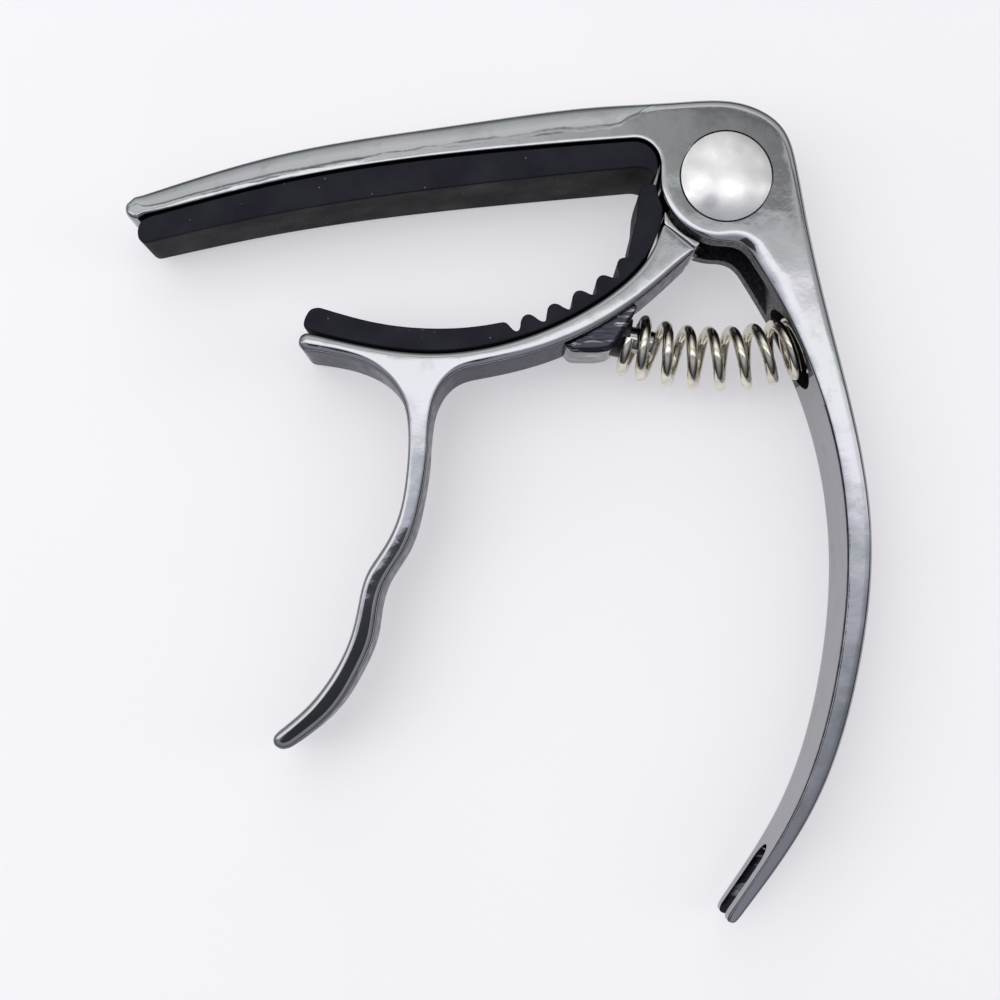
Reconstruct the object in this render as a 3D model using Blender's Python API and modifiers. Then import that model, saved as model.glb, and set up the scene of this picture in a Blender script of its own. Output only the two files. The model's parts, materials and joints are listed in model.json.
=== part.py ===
"""Trigger-style guitar capo: a clamp arm with a long rear handle, and a sprung jaw with a finger trigger.

The whole capo lies on its back. Every outline below is drawn in millimetres in the pivot's own frame:
x to the right, y towards the top edge, z along the pivot axis, with z = 0 on the capo's middle plane.
Two empties place that frame in the scene: one holds the fixed pieces, the other is the hinge.
"""

import math

import bmesh
import bpy
import numpy as np
from mathutils import Matrix, Vector

MM = 0.001

# Where the pivot axis stands in the scene, and how high the middle plane is.
PIVOT_X = 26.16
PIVOT_Y = 37.16
MIDDLE_HEIGHT = 6.0

# Castings: half of their depth along the pivot axis, and how it thins out away from the pivot.
ARM_HALF = 6.0
ARM_THIN_FROM = 12.0
ARM_TIP_HALF = 4.25
ARM_TIP_X = 68.0
HANDLE_TIP_HALF = 4.25
HANDLE_TIP_Y = 83.0
JAW_HALF = 5.5
TRIGGER_THIN_FROM = 22.0
TRIGGER_TIP_HALF = 4.0
TRIGGER_TIP_Y = 64.5
CASTING_EDGE = 0.6

# How far a cutter reaches past the face that it goes through.
CUTTER_END = 8.0

# Edges that turn more than this are drawn sharp.
SMOOTH_ANGLE_DEG = 35.0

# Pivot: ears on the arm, a tongue on the jaw, a sleeve with a domed cap and a screw from behind.
BOSS_RADIUS = 7.5
SLOT_HALF = 3.5
SLOT_RADIUS = 7.2
SLOT_MOUTH = [(0.0, 0.0), (-10.5, -2.1), (-10.5, -14.0), (5.9, -14.2), (5.4, -9.4), (4.9, -5.2)]
TONGUE_HALF = 2.5
TONGUE_RADIUS = 6.6
TONGUE_NECK = [(-6.3, -1.6), (-6.8, -5.9), (-9.4, -9.9), (-6.6, -10.6), (-3.9, -8.2), (-1.1, -6.5)]
SLEEVE_RADIUS = 2.88
BORE_RADIUS = 2.96
CAP_RADIUS = 5.25
CAP_RISE = 0.75
CAP_EDGE = 0.2
CAP_SEAT_RADIUS = 5.45
CAP_SEAT_DEPTH = 0.7
SCREW_HEAD_RADIUS = 4.6
SCREW_SEAT_RADIUS = 4.8
SCREW_SEAT_DEPTH = 1.2
SCREW_RADIUS = 1.85
SCREW_TOP = 2.6
SCREW_CHAMFER = 0.3
SCREW_HEAD_DEPTH = 0.15
SCREW_HEAD_CHAMFER = 0.2
THREAD_BORE_RADIUS = 1.95
THREAD_BORE_TOP = 3.2
SLEEVE_END_GAP = 0.1
HEX_ACROSS_FLATS = 2.5
HEX_DEPTH = 1.5
WASHER_RADIUS = 6.2
WASHER_HALF = 0.2
TOUCH_GAP = 0.15

# Spring: it bends gently round between a seat with a peg on the jaw and a pocket in the handle.
SPRING_BEND_CENTRE = (-0.6, 10.1)
SPRING_BEND_RADIUS = 30.0
SPRING_COIL_RADIUS = 3.15
SPRING_WIRE_RADIUS = 0.6
SPRING_START = -110.1
SPRING_CLOSED_PITCH = 3.2
SPRING_OPEN_PITCH = 5.37
SPRING_FIRST_TURNS = 0.9
SPRING_OPEN_TURNS = 6.05
SPRING_LAST_TURNS = 1.3
SPRING_LUG = [(-17.9, -18.2), (-17.3, -19.6), (-12.95, -19.75), (-9.73, -14.43), (-11.5, -13.2)]
LUG_HALF = 4.05
JAW_PEG_RADIUS = 1.5
JAW_PEG_BASE = (-11.75, -17.35)
JAW_PEG_DIRECTION_DEG = -13.0
JAW_PEG_LENGTH = 4.1
JAW_PEG_ROOT = 1.0
POCKET_RADIUS = 5.0
POCKET_FLOOR = (10.3, -17.9)
POCKET_DIRECTION_DEG = 21.0
POCKET_REACH = 9.0

# Pads: rubber strips with a rib that sits in a groove of the casting.
PAD_GAP = 0.3
PAD_EDGE = 0.35
STRING_PAD_INSET = 0.2
NECK_PAD_HALF = 5.3
NECK_PAD_EDGE = 0.15
RIB_HALF = 1.3
RIB_HEIGHT = 1.0
GROOVE_HALF = 1.6
GROOVE_DEPTH = 1.3
# Where a groove and its rib run, as distances along the casting's edge, and how far past the edge a tool reaches.
STRING_GROOVE_SPAN = (3.0, 53.0)
STRING_RIB_SPAN = (3.6, 52.4)
NECK_GROOVE_SPAN = (4.0, 41.0)
NECK_RIB_SPAN = (4.6, 40.4)
TOOTH_COUNT = 5
TOOTH_PITCH = 3.37
TOOTH_START = 24.25
# One tooth, as distances along the jaw's edge and heights above it: a narrow valley, then a round head.
TOOTH_PROFILE = [(0.1, 0.95), (0.6, 0.95), (0.98, 1.7), (1.35, 2.25), (1.95, 2.5), (2.55, 2.3), (2.98, 1.7)]

# Bridge-pin puller: a slot that forks the end of the handle.
PULLER_HALF = 2.15
PULLER_END = (4.4, -75.4)
PULLER_DIRECTION_DEG = -121.0
PULLER_REACH = 14.0
PULLER_CUT_HALF = 5.0

# Knots of the smooth outlines.
OUTER_EDGE = [
    (-67.6, -1.75), (-50.8, 3.35), (-33.0, 6.3), (-16.1, 8.5), (-4.8, 9.25), (1.85, 9.1), (6.95, 6.05),
    (8.65, 0.9), (11.1, -12.05), (14.5, -26.6), (16.35, -40.1), (14.9, -55.0), (9.3, -71.3), (1.0, -83.0),
]
ARM_TIP = [(-67.25, -4.45), (-68.7, -2.9)]
HANDLE_TIP = [(0.25, -83.75), (-0.7, -83.3)]
HANDLE_INNER_EDGE = [
    (-0.45, -82.6), (6.75, -71.6), (11.9, -55.6), (13.15, -40.7), (11.5, -28.7), (9.4, -22.0), (6.2, -14.7),
    (2.3, -8.0),
]
ARM_LOWER_EDGE = [(-10.2, 4.45), (-28.3, 3.05), (-49.5, 0.1), (-66.2, -4.0)]
FILLET_CENTRE = (-10.4, 1.45)
FILLET_RADIUS = 3.0

JAW_UPPER_EDGE = [
    (-47.6, -17.75), (-39.7, -19.55), (-32.65, -20.15), (-23.6, -18.6), (-14.2, -14.15), (-8.3, -8.3),
    (-7.05, -5.35),
]
JAW_LOWER_EDGE = [
    (-3.45, -8.25), (-8.9, -13.2), (-14.6, -17.1), (-20.9, -19.8), (-27.9, -21.5), (-30.5, -22.25),
    (-32.5, -24.3), (-33.55, -27.8), (-33.85, -32.0), (-34.6, -37.0), (-36.3, -42.3), (-38.45, -45.8),
    (-39.25, -48.3), (-39.8, -51.9), (-41.3, -55.7), (-44.2, -60.3), (-49.0, -64.35),
]
TRIGGER_TIP = [(-50.0, -64.6), (-50.9, -64.1), (-51.05, -63.3)]
TRIGGER_OUTER_EDGE = [
    (-50.6, -62.7), (-47.4, -60.0), (-44.4, -56.2), (-42.35, -51.9), (-41.5, -48.3), (-40.6, -45.0),
    (-38.7, -42.0), (-37.0, -38.3), (-36.2, -34.0), (-35.95, -29.5), (-36.5, -25.8), (-38.2, -23.1),
    (-41.4, -21.1), (-47.9, -19.75),
]
JAW_TIP = [(-48.45, -19.1), (-48.3, -18.2)]

STRING_PAD_LOWER_EDGE = [(-66.25, -7.3), (-52.9, -4.3), (-34.2, -1.4), (-9.7, 1.15)]
STRING_PAD_HEEL = [(-8.6, 0.8), (-8.15, 0.0), (-7.8, 0.1)]
STRING_PAD_TIP = [(-66.95, -6.8), (-67.1, -5.7), (-66.75, -4.7)]
NECK_PAD_FACE = [(-46.2, -14.85), (-39.8, -16.6), (-32.4, -17.3), (-27.9, -17.0), (-25.0, -16.5)]
NECK_PAD_TIP = [(-47.9, -17.1), (-47.75, -16.2), (-47.15, -15.1)]
NECK_PAD_HEEL = [(-11.1, -8.7), (-10.5, -6.0), (-10.1, -4.5), (-9.95, -2.4), (-9.6, -0.85), (-8.3, -0.6)]
NECK_PAD_INNER_RADIUS = 7.9

# Distances between the points taken along the smooth outlines.
ARM_STEP = 2.4
JAW_STEP = 1.6
STRING_PAD_STEP = 3.1
GROOVE_STEP = 2.3


def smooth_run(knots, step):
    """Points about step apart along the natural cubic spline through the knots."""
    knots = np.array(knots, float)
    spans = np.linalg.norm(np.diff(knots, axis=0), axis=1)
    at = np.concatenate([[0.0], np.cumsum(spans)])
    count = len(knots)
    matrix = np.eye(count)
    right = np.zeros((count, 2))
    for i in range(1, count - 1):
        matrix[i, i - 1:i + 2] = spans[i - 1], 2 * (spans[i - 1] + spans[i]), spans[i]
        slope_after = (knots[i + 1] - knots[i]) / spans[i]
        slope_before = (knots[i] - knots[i - 1]) / spans[i - 1]
        right[i] = 6 * (slope_after - slope_before)
    bend = np.linalg.solve(matrix, right)
    samples = np.linspace(0.0, at[-1], max(2, round(at[-1] / step) + 1))
    k = np.clip(np.searchsorted(at, samples, side="right") - 1, 0, count - 2)
    after = (samples - at[k])[:, None]
    before = (at[k + 1] - samples)[:, None]
    span = spans[k][:, None]
    points = (bend[k] * before ** 3 + bend[k + 1] * after ** 3) / (6 * span)
    points += (knots[k] / span - bend[k] * span / 6) * before
    points += (knots[k + 1] / span - bend[k + 1] * span / 6) * after
    return [tuple(p) for p in points]


def arc(centre, radius, start_deg, end_deg, steps):
    angles = np.radians(np.linspace(start_deg, end_deg, steps + 1))
    return [(centre[0] + radius * math.cos(a), centre[1] + radius * math.sin(a)) for a in angles]


def offset_run(run, distance):
    """The run moved sideways, to the left of its direction of travel."""
    points = np.array(run)
    along = np.gradient(points, axis=0)
    along /= np.linalg.norm(along, axis=1)[:, None]
    left = np.stack([-along[:, 1], along[:, 0]], axis=1)
    return [tuple(p) for p in points + left * distance]


def between(run, low, high):
    """The closed strip between two offsets of a run."""
    return offset_run(run, low) + offset_run(run, high)[::-1]


def part_of_run(run, first, last):
    """The stretch of a run between two distances along it."""
    points = np.array(run)
    along = np.concatenate([[0.0], np.cumsum(np.linalg.norm(np.diff(points, axis=0), axis=1))])
    return [run[i] for i in range(len(run)) if first <= along[i] <= last]


def at_distance(run, distance, height):
    """The point that far along a run and that high to its left."""
    points = np.array(run)
    raised = np.array(offset_run(run, height))
    along = np.concatenate([[0.0], np.cumsum(np.linalg.norm(np.diff(points, axis=0), axis=1))])
    return tuple(np.interp(distance, along, raised[:, axis]) for axis in (0, 1))


def on_circle(radius, angle_deg):
    angle = math.radians(angle_deg)
    return radius * math.cos(angle), radius * math.sin(angle)


def arm_half_depth(x, y):
    arm = (ARM_HALF - ARM_TIP_HALF) * max(0.0, -x - ARM_THIN_FROM) / (ARM_TIP_X - ARM_THIN_FROM)
    handle = (ARM_HALF - HANDLE_TIP_HALF) * max(0.0, -y - ARM_THIN_FROM) / (HANDLE_TIP_Y - ARM_THIN_FROM)
    return ARM_HALF - arm - handle


def jaw_half_depth(x, y):
    thinning = max(0.0, -y - TRIGGER_THIN_FROM) / (TRIGGER_TIP_Y - TRIGGER_THIN_FROM)
    return JAW_HALF - (JAW_HALF - TRIGGER_TIP_HALF) * thinning


def string_pad_half_depth(x, y):
    return arm_half_depth(x, 0.0) - STRING_PAD_INSET


def clear_scene():
    for obj in list(bpy.data.objects):
        bpy.data.objects.remove(obj, do_unlink=True)


def new_collection(name):
    collection = bpy.data.collections.new(name)
    bpy.context.scene.collection.children.link(collection)
    return collection


def new_empty(name, collection):
    empty = bpy.data.objects.new(name, None)
    empty.location = Vector((PIVOT_X, PIVOT_Y, MIDDLE_HEIGHT)) * MM
    collection.objects.link(empty)
    return empty


def add_mesh(name, bm, collection):
    bmesh.ops.recalc_face_normals(bm, faces=bm.faces)
    mesh = bpy.data.meshes.new(name)
    bm.to_mesh(mesh)
    bm.free()
    mesh.shade_smooth()
    mesh.set_sharp_from_angle(angle=math.radians(SMOOTH_ANGLE_DEG))
    obj = bpy.data.objects.new(name, mesh)
    collection.objects.link(obj)
    return obj


def mesh_of_curve(curve):
    """The bmesh of a curve, with its caps welded to its sides."""
    holder = bpy.data.objects.new("outline", curve)
    bpy.context.scene.collection.objects.link(holder)
    graph = bpy.context.evaluated_depsgraph_get()
    mesh = bpy.data.meshes.new_from_object(holder.evaluated_get(graph))
    bm = bmesh.new()
    bm.from_mesh(mesh)
    bmesh.ops.remove_doubles(bm, verts=bm.verts, dist=1e-7)
    bpy.data.objects.remove(holder, do_unlink=True)
    bpy.data.curves.remove(curve)
    bpy.data.meshes.remove(mesh)
    return bm


def plate(name, outline, half_depth, collection, edge=0.0, thin_from=()):
    """A flat outline with depth to both sides of z = 0 and a rounded edge of that size.

    half_depth is a number, or a function of x and y that thins the plate beyond the planes in thin_from.
    """
    full_half = half_depth(0.0, 0.0) if callable(half_depth) else half_depth
    curve = bpy.data.curves.new(name, "CURVE")
    curve.dimensions = "2D"
    curve.fill_mode = "BOTH"
    curve.extrude = (full_half - edge) * MM
    curve.bevel_depth = edge * MM
    curve.bevel_resolution = 1
    curve.offset = -edge * MM
    spline = curve.splines.new("POLY")
    spline.points.add(len(outline) - 1)
    for point, (x, y) in zip(spline.points, outline):
        point.co = (x * MM, y * MM, 0.0, 1.0)
    spline.use_cyclic_u = True
    bm = mesh_of_curve(curve)
    for normal, distance in thin_from:
        bmesh.ops.bisect_plane(
            bm,
            geom=bm.verts[:] + bm.edges[:] + bm.faces[:],
            plane_co=Vector(normal) * distance * MM,
            plane_no=normal,
            dist=1e-7,
        )
    if callable(half_depth):
        for vert in bm.verts:
            vert.co.z *= half_depth(vert.co.x / MM, vert.co.y / MM) / full_half
    return add_mesh(name, bm, collection)


def cylinder(name, radius, low, high, collection, segments=48):
    bm = bmesh.new()
    bmesh.ops.create_cone(
        bm, cap_ends=True, segments=segments, radius1=radius * MM, radius2=radius * MM, depth=(high - low) * MM
    )
    bmesh.ops.translate(bm, verts=bm.verts, vec=(0.0, 0.0, (low + high) / 2 * MM))
    return add_mesh(name, bm, collection)


def turned(name, profile, collection, segments=48, ring=False):
    """A profile of (radius, height) points, from the top of the axis round to the bottom, turned about z.

    With ring, the profile closes on itself and the shape has a hole in the middle.
    """
    bm = bmesh.new()
    verts = [bm.verts.new((r * MM, 0.0, z * MM)) for r, z in profile]
    ends = verts[1:] + verts[:1] if ring else verts[1:]
    for first, second in zip(verts, ends):
        bm.edges.new((first, second))
    mesh = bpy.data.meshes.new(name)
    bm.to_mesh(mesh)
    bm.free()
    obj = bpy.data.objects.new(name, mesh)
    collection.objects.link(obj)
    screw = obj.modifiers.new("turn", "SCREW")
    screw.angle = math.radians(360)
    screw.steps = segments
    screw.render_steps = segments
    screw.use_merge_vertices = True
    screw.merge_threshold = 1e-7
    screw.use_smooth_shade = True
    return obj


def lie_along(obj, point, angle_deg):
    """Lays a z-aligned object down in the middle plane, its z axis along angle_deg, its origin at point."""
    turn = Matrix.Rotation(math.radians(angle_deg), 4, "Z") @ Matrix.Rotation(math.radians(90), 4, "Y")
    obj.data.transform(Matrix.Translation((point[0] * MM, point[1] * MM, 0.0)) @ turn)


def as_tool(obj, parent):
    obj.hide_render = True
    obj.display_type = "WIRE"
    obj.parent = parent


def combine(obj, tools, operation):
    for tool in tools:
        as_tool(tool, obj.parent)
        modifier = obj.modifiers.new(tool.name, "BOOLEAN")
        modifier.operation = operation
        modifier.object = tool
        modifier.solver = "EXACT"


def paint(obj, name, colour, roughness, metallic):
    material = bpy.data.materials.new(name)
    material.use_nodes = True
    shader = material.node_tree.nodes["Principled BSDF"]
    shader.inputs["Base Color"].default_value = (*colour, 1.0)
    shader.inputs["Roughness"].default_value = roughness
    shader.inputs["Metallic"].default_value = metallic
    obj.data.materials.append(material)


def black_chrome(obj):
    paint(obj, obj.name + "_black_chrome", (0.33, 0.33, 0.34), 0.08, 1.0)


def satin_nickel(obj):
    paint(obj, obj.name + "_satin_nickel", (0.74, 0.73, 0.71), 0.28, 1.0)


def black_rubber(obj):
    paint(obj, obj.name + "_black_rubber", (0.012, 0.012, 0.013), 0.6, 0.0)


def arm_outline():
    boss = arc((0.0, 0.0), BOSS_RADIUS, 287.0, 183.0, 16)
    fillet = arc(FILLET_CENTRE, FILLET_RADIUS, 2.0, 86.0, 6)
    outline = smooth_run(OUTER_EDGE, ARM_STEP)
    outline += HANDLE_TIP
    outline += smooth_run(HANDLE_INNER_EDGE, ARM_STEP)
    outline += boss + fillet
    outline += smooth_run(ARM_LOWER_EDGE, ARM_STEP)[1:]
    outline += ARM_TIP
    return outline


def pivot_slot(collection):
    disc = cylinder("slot_disc", SLOT_RADIUS, -SLOT_HALF, SLOT_HALF, collection)
    return [disc, plate("slot_mouth", SLOT_MOUTH, SLOT_HALF, collection)]


def spring_pocket(collection):
    pocket = cylinder("pocket", POCKET_RADIUS, -POCKET_REACH, 0.0, collection, segments=32)
    lie_along(pocket, POCKET_FLOOR, POCKET_DIRECTION_DEG)
    return pocket


def spring_peg(collection):
    """The peg that stands on the jaw's seat and reaches into the spring."""
    peg = cylinder("jaw_peg", JAW_PEG_RADIUS, -JAW_PEG_ROOT, JAW_PEG_LENGTH, collection, segments=24)
    lie_along(peg, JAW_PEG_BASE, JAW_PEG_DIRECTION_DEG)
    return peg


def pin_puller(collection):
    """The slot in the end of the handle: straight sides and a round end, right through from outside to inside."""
    outline = arc((0.0, 0.0), PULLER_HALF, 90.0, 270.0, 16)
    outline += [(PULLER_REACH, -PULLER_HALF), (PULLER_REACH, PULLER_HALF)]
    slot = plate("pin_puller_slot", outline, PULLER_CUT_HALF, collection)
    along = math.radians(PULLER_DIRECTION_DEG)
    x = PULLER_END[0] + PULLER_HALF * math.cos(along)
    y = PULLER_END[1] + PULLER_HALF * math.sin(along)
    turn = Matrix.Rotation(along, 4, "Z") @ Matrix.Rotation(math.radians(90), 4, "X")
    slot.data.transform(Matrix.Translation((x * MM, y * MM, 0.0)) @ turn)
    return slot


def string_pad_groove(low, high, span):
    """A strip along the arm's lower edge: low and high are distances below the edge."""
    run = part_of_run(smooth_run(ARM_LOWER_EDGE, GROOVE_STEP), *span)
    return between(run, low, high)


def neck_pad_groove(low, high, span):
    """A strip along the jaw's upper edge: low and high are distances above the edge."""
    run = part_of_run(smooth_run(JAW_UPPER_EDGE, GROOVE_STEP), *span)
    return between(run, low, high)


def build_arm_and_handle(parts, tools, frame):
    arm = plate(
        "arm_and_handle", arm_outline(), arm_half_depth, parts, CASTING_EDGE,
        thin_from=[((-1, 0, 0), ARM_THIN_FROM), ((0, -1, 0), ARM_THIN_FROM)],
    )
    arm.parent = frame
    black_chrome(arm)
    cuts = pivot_slot(tools)
    cuts.append(cylinder("arm_bore", BORE_RADIUS, -CUTTER_END, CUTTER_END, tools))
    cuts.append(cylinder("cap_seat", CAP_SEAT_RADIUS, ARM_HALF - CAP_SEAT_DEPTH, CUTTER_END, tools))
    cuts.append(cylinder("screw_seat", SCREW_SEAT_RADIUS, -CUTTER_END, -ARM_HALF + SCREW_SEAT_DEPTH, tools))
    cuts.append(spring_pocket(tools))
    cuts.append(pin_puller(tools))
    groove = string_pad_groove(RIB_HEIGHT, -GROOVE_DEPTH, STRING_GROOVE_SPAN)
    cuts.append(plate("string_pad_groove", groove, GROOVE_HALF, tools))
    combine(arm, cuts, "DIFFERENCE")


def build_jaw_and_trigger(parts, tools, hinge):
    outline = smooth_run(JAW_UPPER_EDGE, JAW_STEP)
    outline += smooth_run(JAW_LOWER_EDGE, JAW_STEP) + TRIGGER_TIP
    outline += smooth_run(TRIGGER_OUTER_EDGE, JAW_STEP) + JAW_TIP
    jaw = plate(
        "jaw_and_trigger", outline, jaw_half_depth, parts, CASTING_EDGE,
        thin_from=[((0, -1, 0), TRIGGER_THIN_FROM)],
    )
    jaw.parent = hinge
    black_chrome(jaw)
    solids = [
        cylinder("tongue_disc", TONGUE_RADIUS, -TONGUE_HALF, TONGUE_HALF, tools),
        plate("tongue_neck", TONGUE_NECK, TONGUE_HALF, tools),
        plate("spring_lug", SPRING_LUG, LUG_HALF, tools),
        spring_peg(tools),
    ]
    combine(jaw, solids, "UNION")
    groove = neck_pad_groove(-GROOVE_DEPTH, RIB_HEIGHT, NECK_GROOVE_SPAN)
    cuts = [
        cylinder("jaw_bore", BORE_RADIUS, -CUTTER_END, CUTTER_END, tools),
        plate("neck_pad_groove", groove, GROOVE_HALF, tools),
    ]
    combine(jaw, cuts, "DIFFERENCE")


def build_string_pad(parts, tools, frame):
    upper = offset_run(smooth_run(ARM_LOWER_EDGE, STRING_PAD_STEP), PAD_GAP)
    end = arc(FILLET_CENTRE, FILLET_RADIUS - PAD_GAP, 8.0, 80.0, 4)
    outline = smooth_run(STRING_PAD_LOWER_EDGE, STRING_PAD_STEP) + STRING_PAD_HEEL + end
    outline += upper[:-1] + STRING_PAD_TIP[::-1]
    pad = plate(
        "string_pad", outline, string_pad_half_depth, parts, PAD_EDGE, thin_from=[((-1, 0, 0), ARM_THIN_FROM)]
    )
    pad.parent = frame
    black_rubber(pad)
    rib = string_pad_groove(RIB_HEIGHT, PAD_GAP - GROOVE_DEPTH, STRING_RIB_SPAN)
    combine(pad, [plate("string_pad_rib", rib, RIB_HALF, tools)], "UNION")


def neck_pad_outline():
    """Flat from the jaw's tip to the first tooth, then rounded teeth, then a heel up beside the pivot."""
    edge = smooth_run(JAW_UPPER_EDGE, JAW_STEP)
    outline = offset_run(edge, PAD_GAP) + arc((0.0, 0.0), NECK_PAD_INNER_RADIUS, 206.0, 185.5, 5)
    outline += NECK_PAD_HEEL[::-1]
    for tooth in reversed(range(TOOTH_COUNT)):
        for along, height in reversed(TOOTH_PROFILE):
            outline.append(at_distance(edge, TOOTH_START + tooth * TOOTH_PITCH + along, height))
    outline += smooth_run(NECK_PAD_FACE, JAW_STEP)[::-1]
    outline += NECK_PAD_TIP[::-1]
    return outline


def build_neck_pad(parts, tools, hinge):
    pad = plate("neck_pad", neck_pad_outline(), NECK_PAD_HALF, parts, NECK_PAD_EDGE)
    pad.parent = hinge
    black_rubber(pad)
    rib = neck_pad_groove(PAD_GAP - GROOVE_DEPTH, RIB_HEIGHT, NECK_RIB_SPAN)
    combine(pad, [plate("neck_pad_rib", rib, RIB_HALF, tools)], "UNION")


def build_pivot_barrel(parts, frame):
    """The domed cap at the front with its sleeve, which is bored from behind for the screw."""
    under = ARM_HALF - CAP_SEAT_DEPTH + TOUCH_GAP
    rim = ARM_HALF - CAP_EDGE
    sleeve_end = -ARM_HALF + SCREW_SEAT_DEPTH + SLEEVE_END_GAP
    dome_radius = (CAP_RADIUS ** 2 + CAP_RISE ** 2) / (2 * CAP_RISE)
    dome = []
    for i in range(8):
        r = CAP_RADIUS * i / 8
        dome.append((r, rim + CAP_EDGE + CAP_RISE - dome_radius + math.sqrt(dome_radius ** 2 - r ** 2)))
    profile = dome + [(CAP_RADIUS, rim), (CAP_RADIUS, under), (SLEEVE_RADIUS, under)]
    profile += [(SLEEVE_RADIUS, sleeve_end), (THREAD_BORE_RADIUS, sleeve_end)]
    profile += [(THREAD_BORE_RADIUS, THREAD_BORE_TOP), (0.0, THREAD_BORE_TOP)]
    barrel = turned("pivot_barrel", profile, parts)
    barrel.parent = frame
    satin_nickel(barrel)


def build_pivot_screw(parts, tools, frame):
    """The flush screw at the back, with a hexagon socket."""
    back = -ARM_HALF + SCREW_HEAD_DEPTH
    under = -ARM_HALF + SCREW_SEAT_DEPTH - TOUCH_GAP
    profile = [(0.0, SCREW_TOP), (SCREW_RADIUS - SCREW_CHAMFER, SCREW_TOP)]
    profile += [(SCREW_RADIUS, SCREW_TOP - SCREW_CHAMFER), (SCREW_RADIUS, under), (SCREW_HEAD_RADIUS, under)]
    profile += [(SCREW_HEAD_RADIUS, back + SCREW_HEAD_CHAMFER), (SCREW_HEAD_RADIUS - SCREW_HEAD_CHAMFER, back)]
    profile += [(0.0, back)]
    screw = turned("pivot_screw", profile, parts)
    screw.parent = frame
    satin_nickel(screw)
    hex_radius = HEX_ACROSS_FLATS / 2 / math.cos(math.radians(30))
    socket = cylinder("hex_socket", hex_radius, -CUTTER_END, back + HEX_DEPTH, tools, segments=6)
    combine(screw, [socket], "DIFFERENCE")


def build_washer(name, middle, parts, frame):
    inner = BORE_RADIUS
    low = middle - WASHER_HALF
    high = middle + WASHER_HALF
    profile = [(inner, high), (WASHER_RADIUS, high), (WASHER_RADIUS, low), (inner, low)]
    washer = turned(name, profile, parts, segments=40, ring=True)
    washer.parent = frame
    satin_nickel(washer)


def spring_angle(turn):
    """How far round its bend the wire has got after so many turns: closed coils at both ends."""
    turns = np.cumsum([0.0, SPRING_FIRST_TURNS, SPRING_OPEN_TURNS, SPRING_LAST_TURNS])
    pitches = [0.0, SPRING_CLOSED_PITCH, SPRING_OPEN_PITCH, SPRING_CLOSED_PITCH]
    angles = SPRING_START + np.cumsum(np.diff(turns, prepend=0.0) * pitches)
    return float(np.interp(turn, turns, angles))


def build_spring(parts, frame):
    """The compression spring: a coil whose centre line is a gentle arc."""
    turns = SPRING_FIRST_TURNS + SPRING_OPEN_TURNS + SPRING_LAST_TURNS
    count = round(turns * 14) + 1
    curve = bpy.data.curves.new("spring", "CURVE")
    curve.dimensions = "3D"
    curve.bevel_depth = SPRING_WIRE_RADIUS * MM
    curve.bevel_resolution = 2
    curve.use_fill_caps = True
    spline = curve.splines.new("POLY")
    spline.points.add(count - 1)
    for i, point in enumerate(spline.points):
        turn = turns * i / (count - 1)
        around = math.radians(360 * turn)
        x, y = on_circle(SPRING_BEND_RADIUS + SPRING_COIL_RADIUS * math.sin(around), spring_angle(turn))
        x += SPRING_BEND_CENTRE[0]
        y += SPRING_BEND_CENTRE[1]
        point.co = (x * MM, y * MM, SPRING_COIL_RADIUS * math.cos(around) * MM, 1.0)
    spring = add_mesh("spring", mesh_of_curve(curve), parts)
    spring.parent = frame
    satin_nickel(spring)


def main():
    clear_scene()
    parts = new_collection("guitar_capo")
    tools = new_collection("cutters")
    frame = new_empty("fixed_frame", parts)
    hinge = new_empty("hinge_axis", parts)
    build_arm_and_handle(parts, tools, frame)
    build_jaw_and_trigger(parts, tools, hinge)
    build_string_pad(parts, tools, frame)
    build_neck_pad(parts, tools, hinge)
    build_pivot_barrel(parts, frame)
    build_pivot_screw(parts, tools, frame)
    build_washer("washer_front", (SLOT_HALF + TONGUE_HALF) / 2, parts, frame)
    build_washer("washer_back", -(SLOT_HALF + TONGUE_HALF) / 2, parts, frame)
    build_spring(parts, frame)


main()
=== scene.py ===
"""Looks of the trigger-style guitar capo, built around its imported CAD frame.

Outlines are in millimetres in the pivot's own frame: x to the right, y towards the top edge, z along the
pivot axis, with z = 0 on the capo's middle plane. They follow the CAD castings and pads, with a blunter arm
end and finer teeth and lug. The capo lies on its back, and the camera looks down on it.
"""

import json
from math import cos, pi, radians, sin, sqrt

import bmesh
import bpy
import numpy as np
from mathutils import Matrix, Vector
from mathutils.geometry import delaunay_2d_cdt


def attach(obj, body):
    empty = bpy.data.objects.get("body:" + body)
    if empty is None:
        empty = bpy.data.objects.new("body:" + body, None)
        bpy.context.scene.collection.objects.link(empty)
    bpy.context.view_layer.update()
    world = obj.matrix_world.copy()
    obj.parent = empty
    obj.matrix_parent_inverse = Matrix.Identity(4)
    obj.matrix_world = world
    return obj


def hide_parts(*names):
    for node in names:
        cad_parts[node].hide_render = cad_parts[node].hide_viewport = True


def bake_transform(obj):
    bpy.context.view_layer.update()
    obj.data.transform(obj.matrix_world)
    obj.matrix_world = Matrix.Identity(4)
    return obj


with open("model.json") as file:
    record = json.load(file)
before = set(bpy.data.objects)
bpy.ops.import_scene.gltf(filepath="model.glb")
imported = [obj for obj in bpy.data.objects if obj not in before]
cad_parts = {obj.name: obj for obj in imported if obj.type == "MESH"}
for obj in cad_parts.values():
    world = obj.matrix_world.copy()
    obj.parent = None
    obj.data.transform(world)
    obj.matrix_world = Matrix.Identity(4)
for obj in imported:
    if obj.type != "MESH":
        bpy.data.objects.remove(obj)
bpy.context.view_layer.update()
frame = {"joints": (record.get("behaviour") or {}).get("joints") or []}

MM = 0.001
PIVOT = Vector(frame["joints"][0]["pos_m"])

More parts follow.
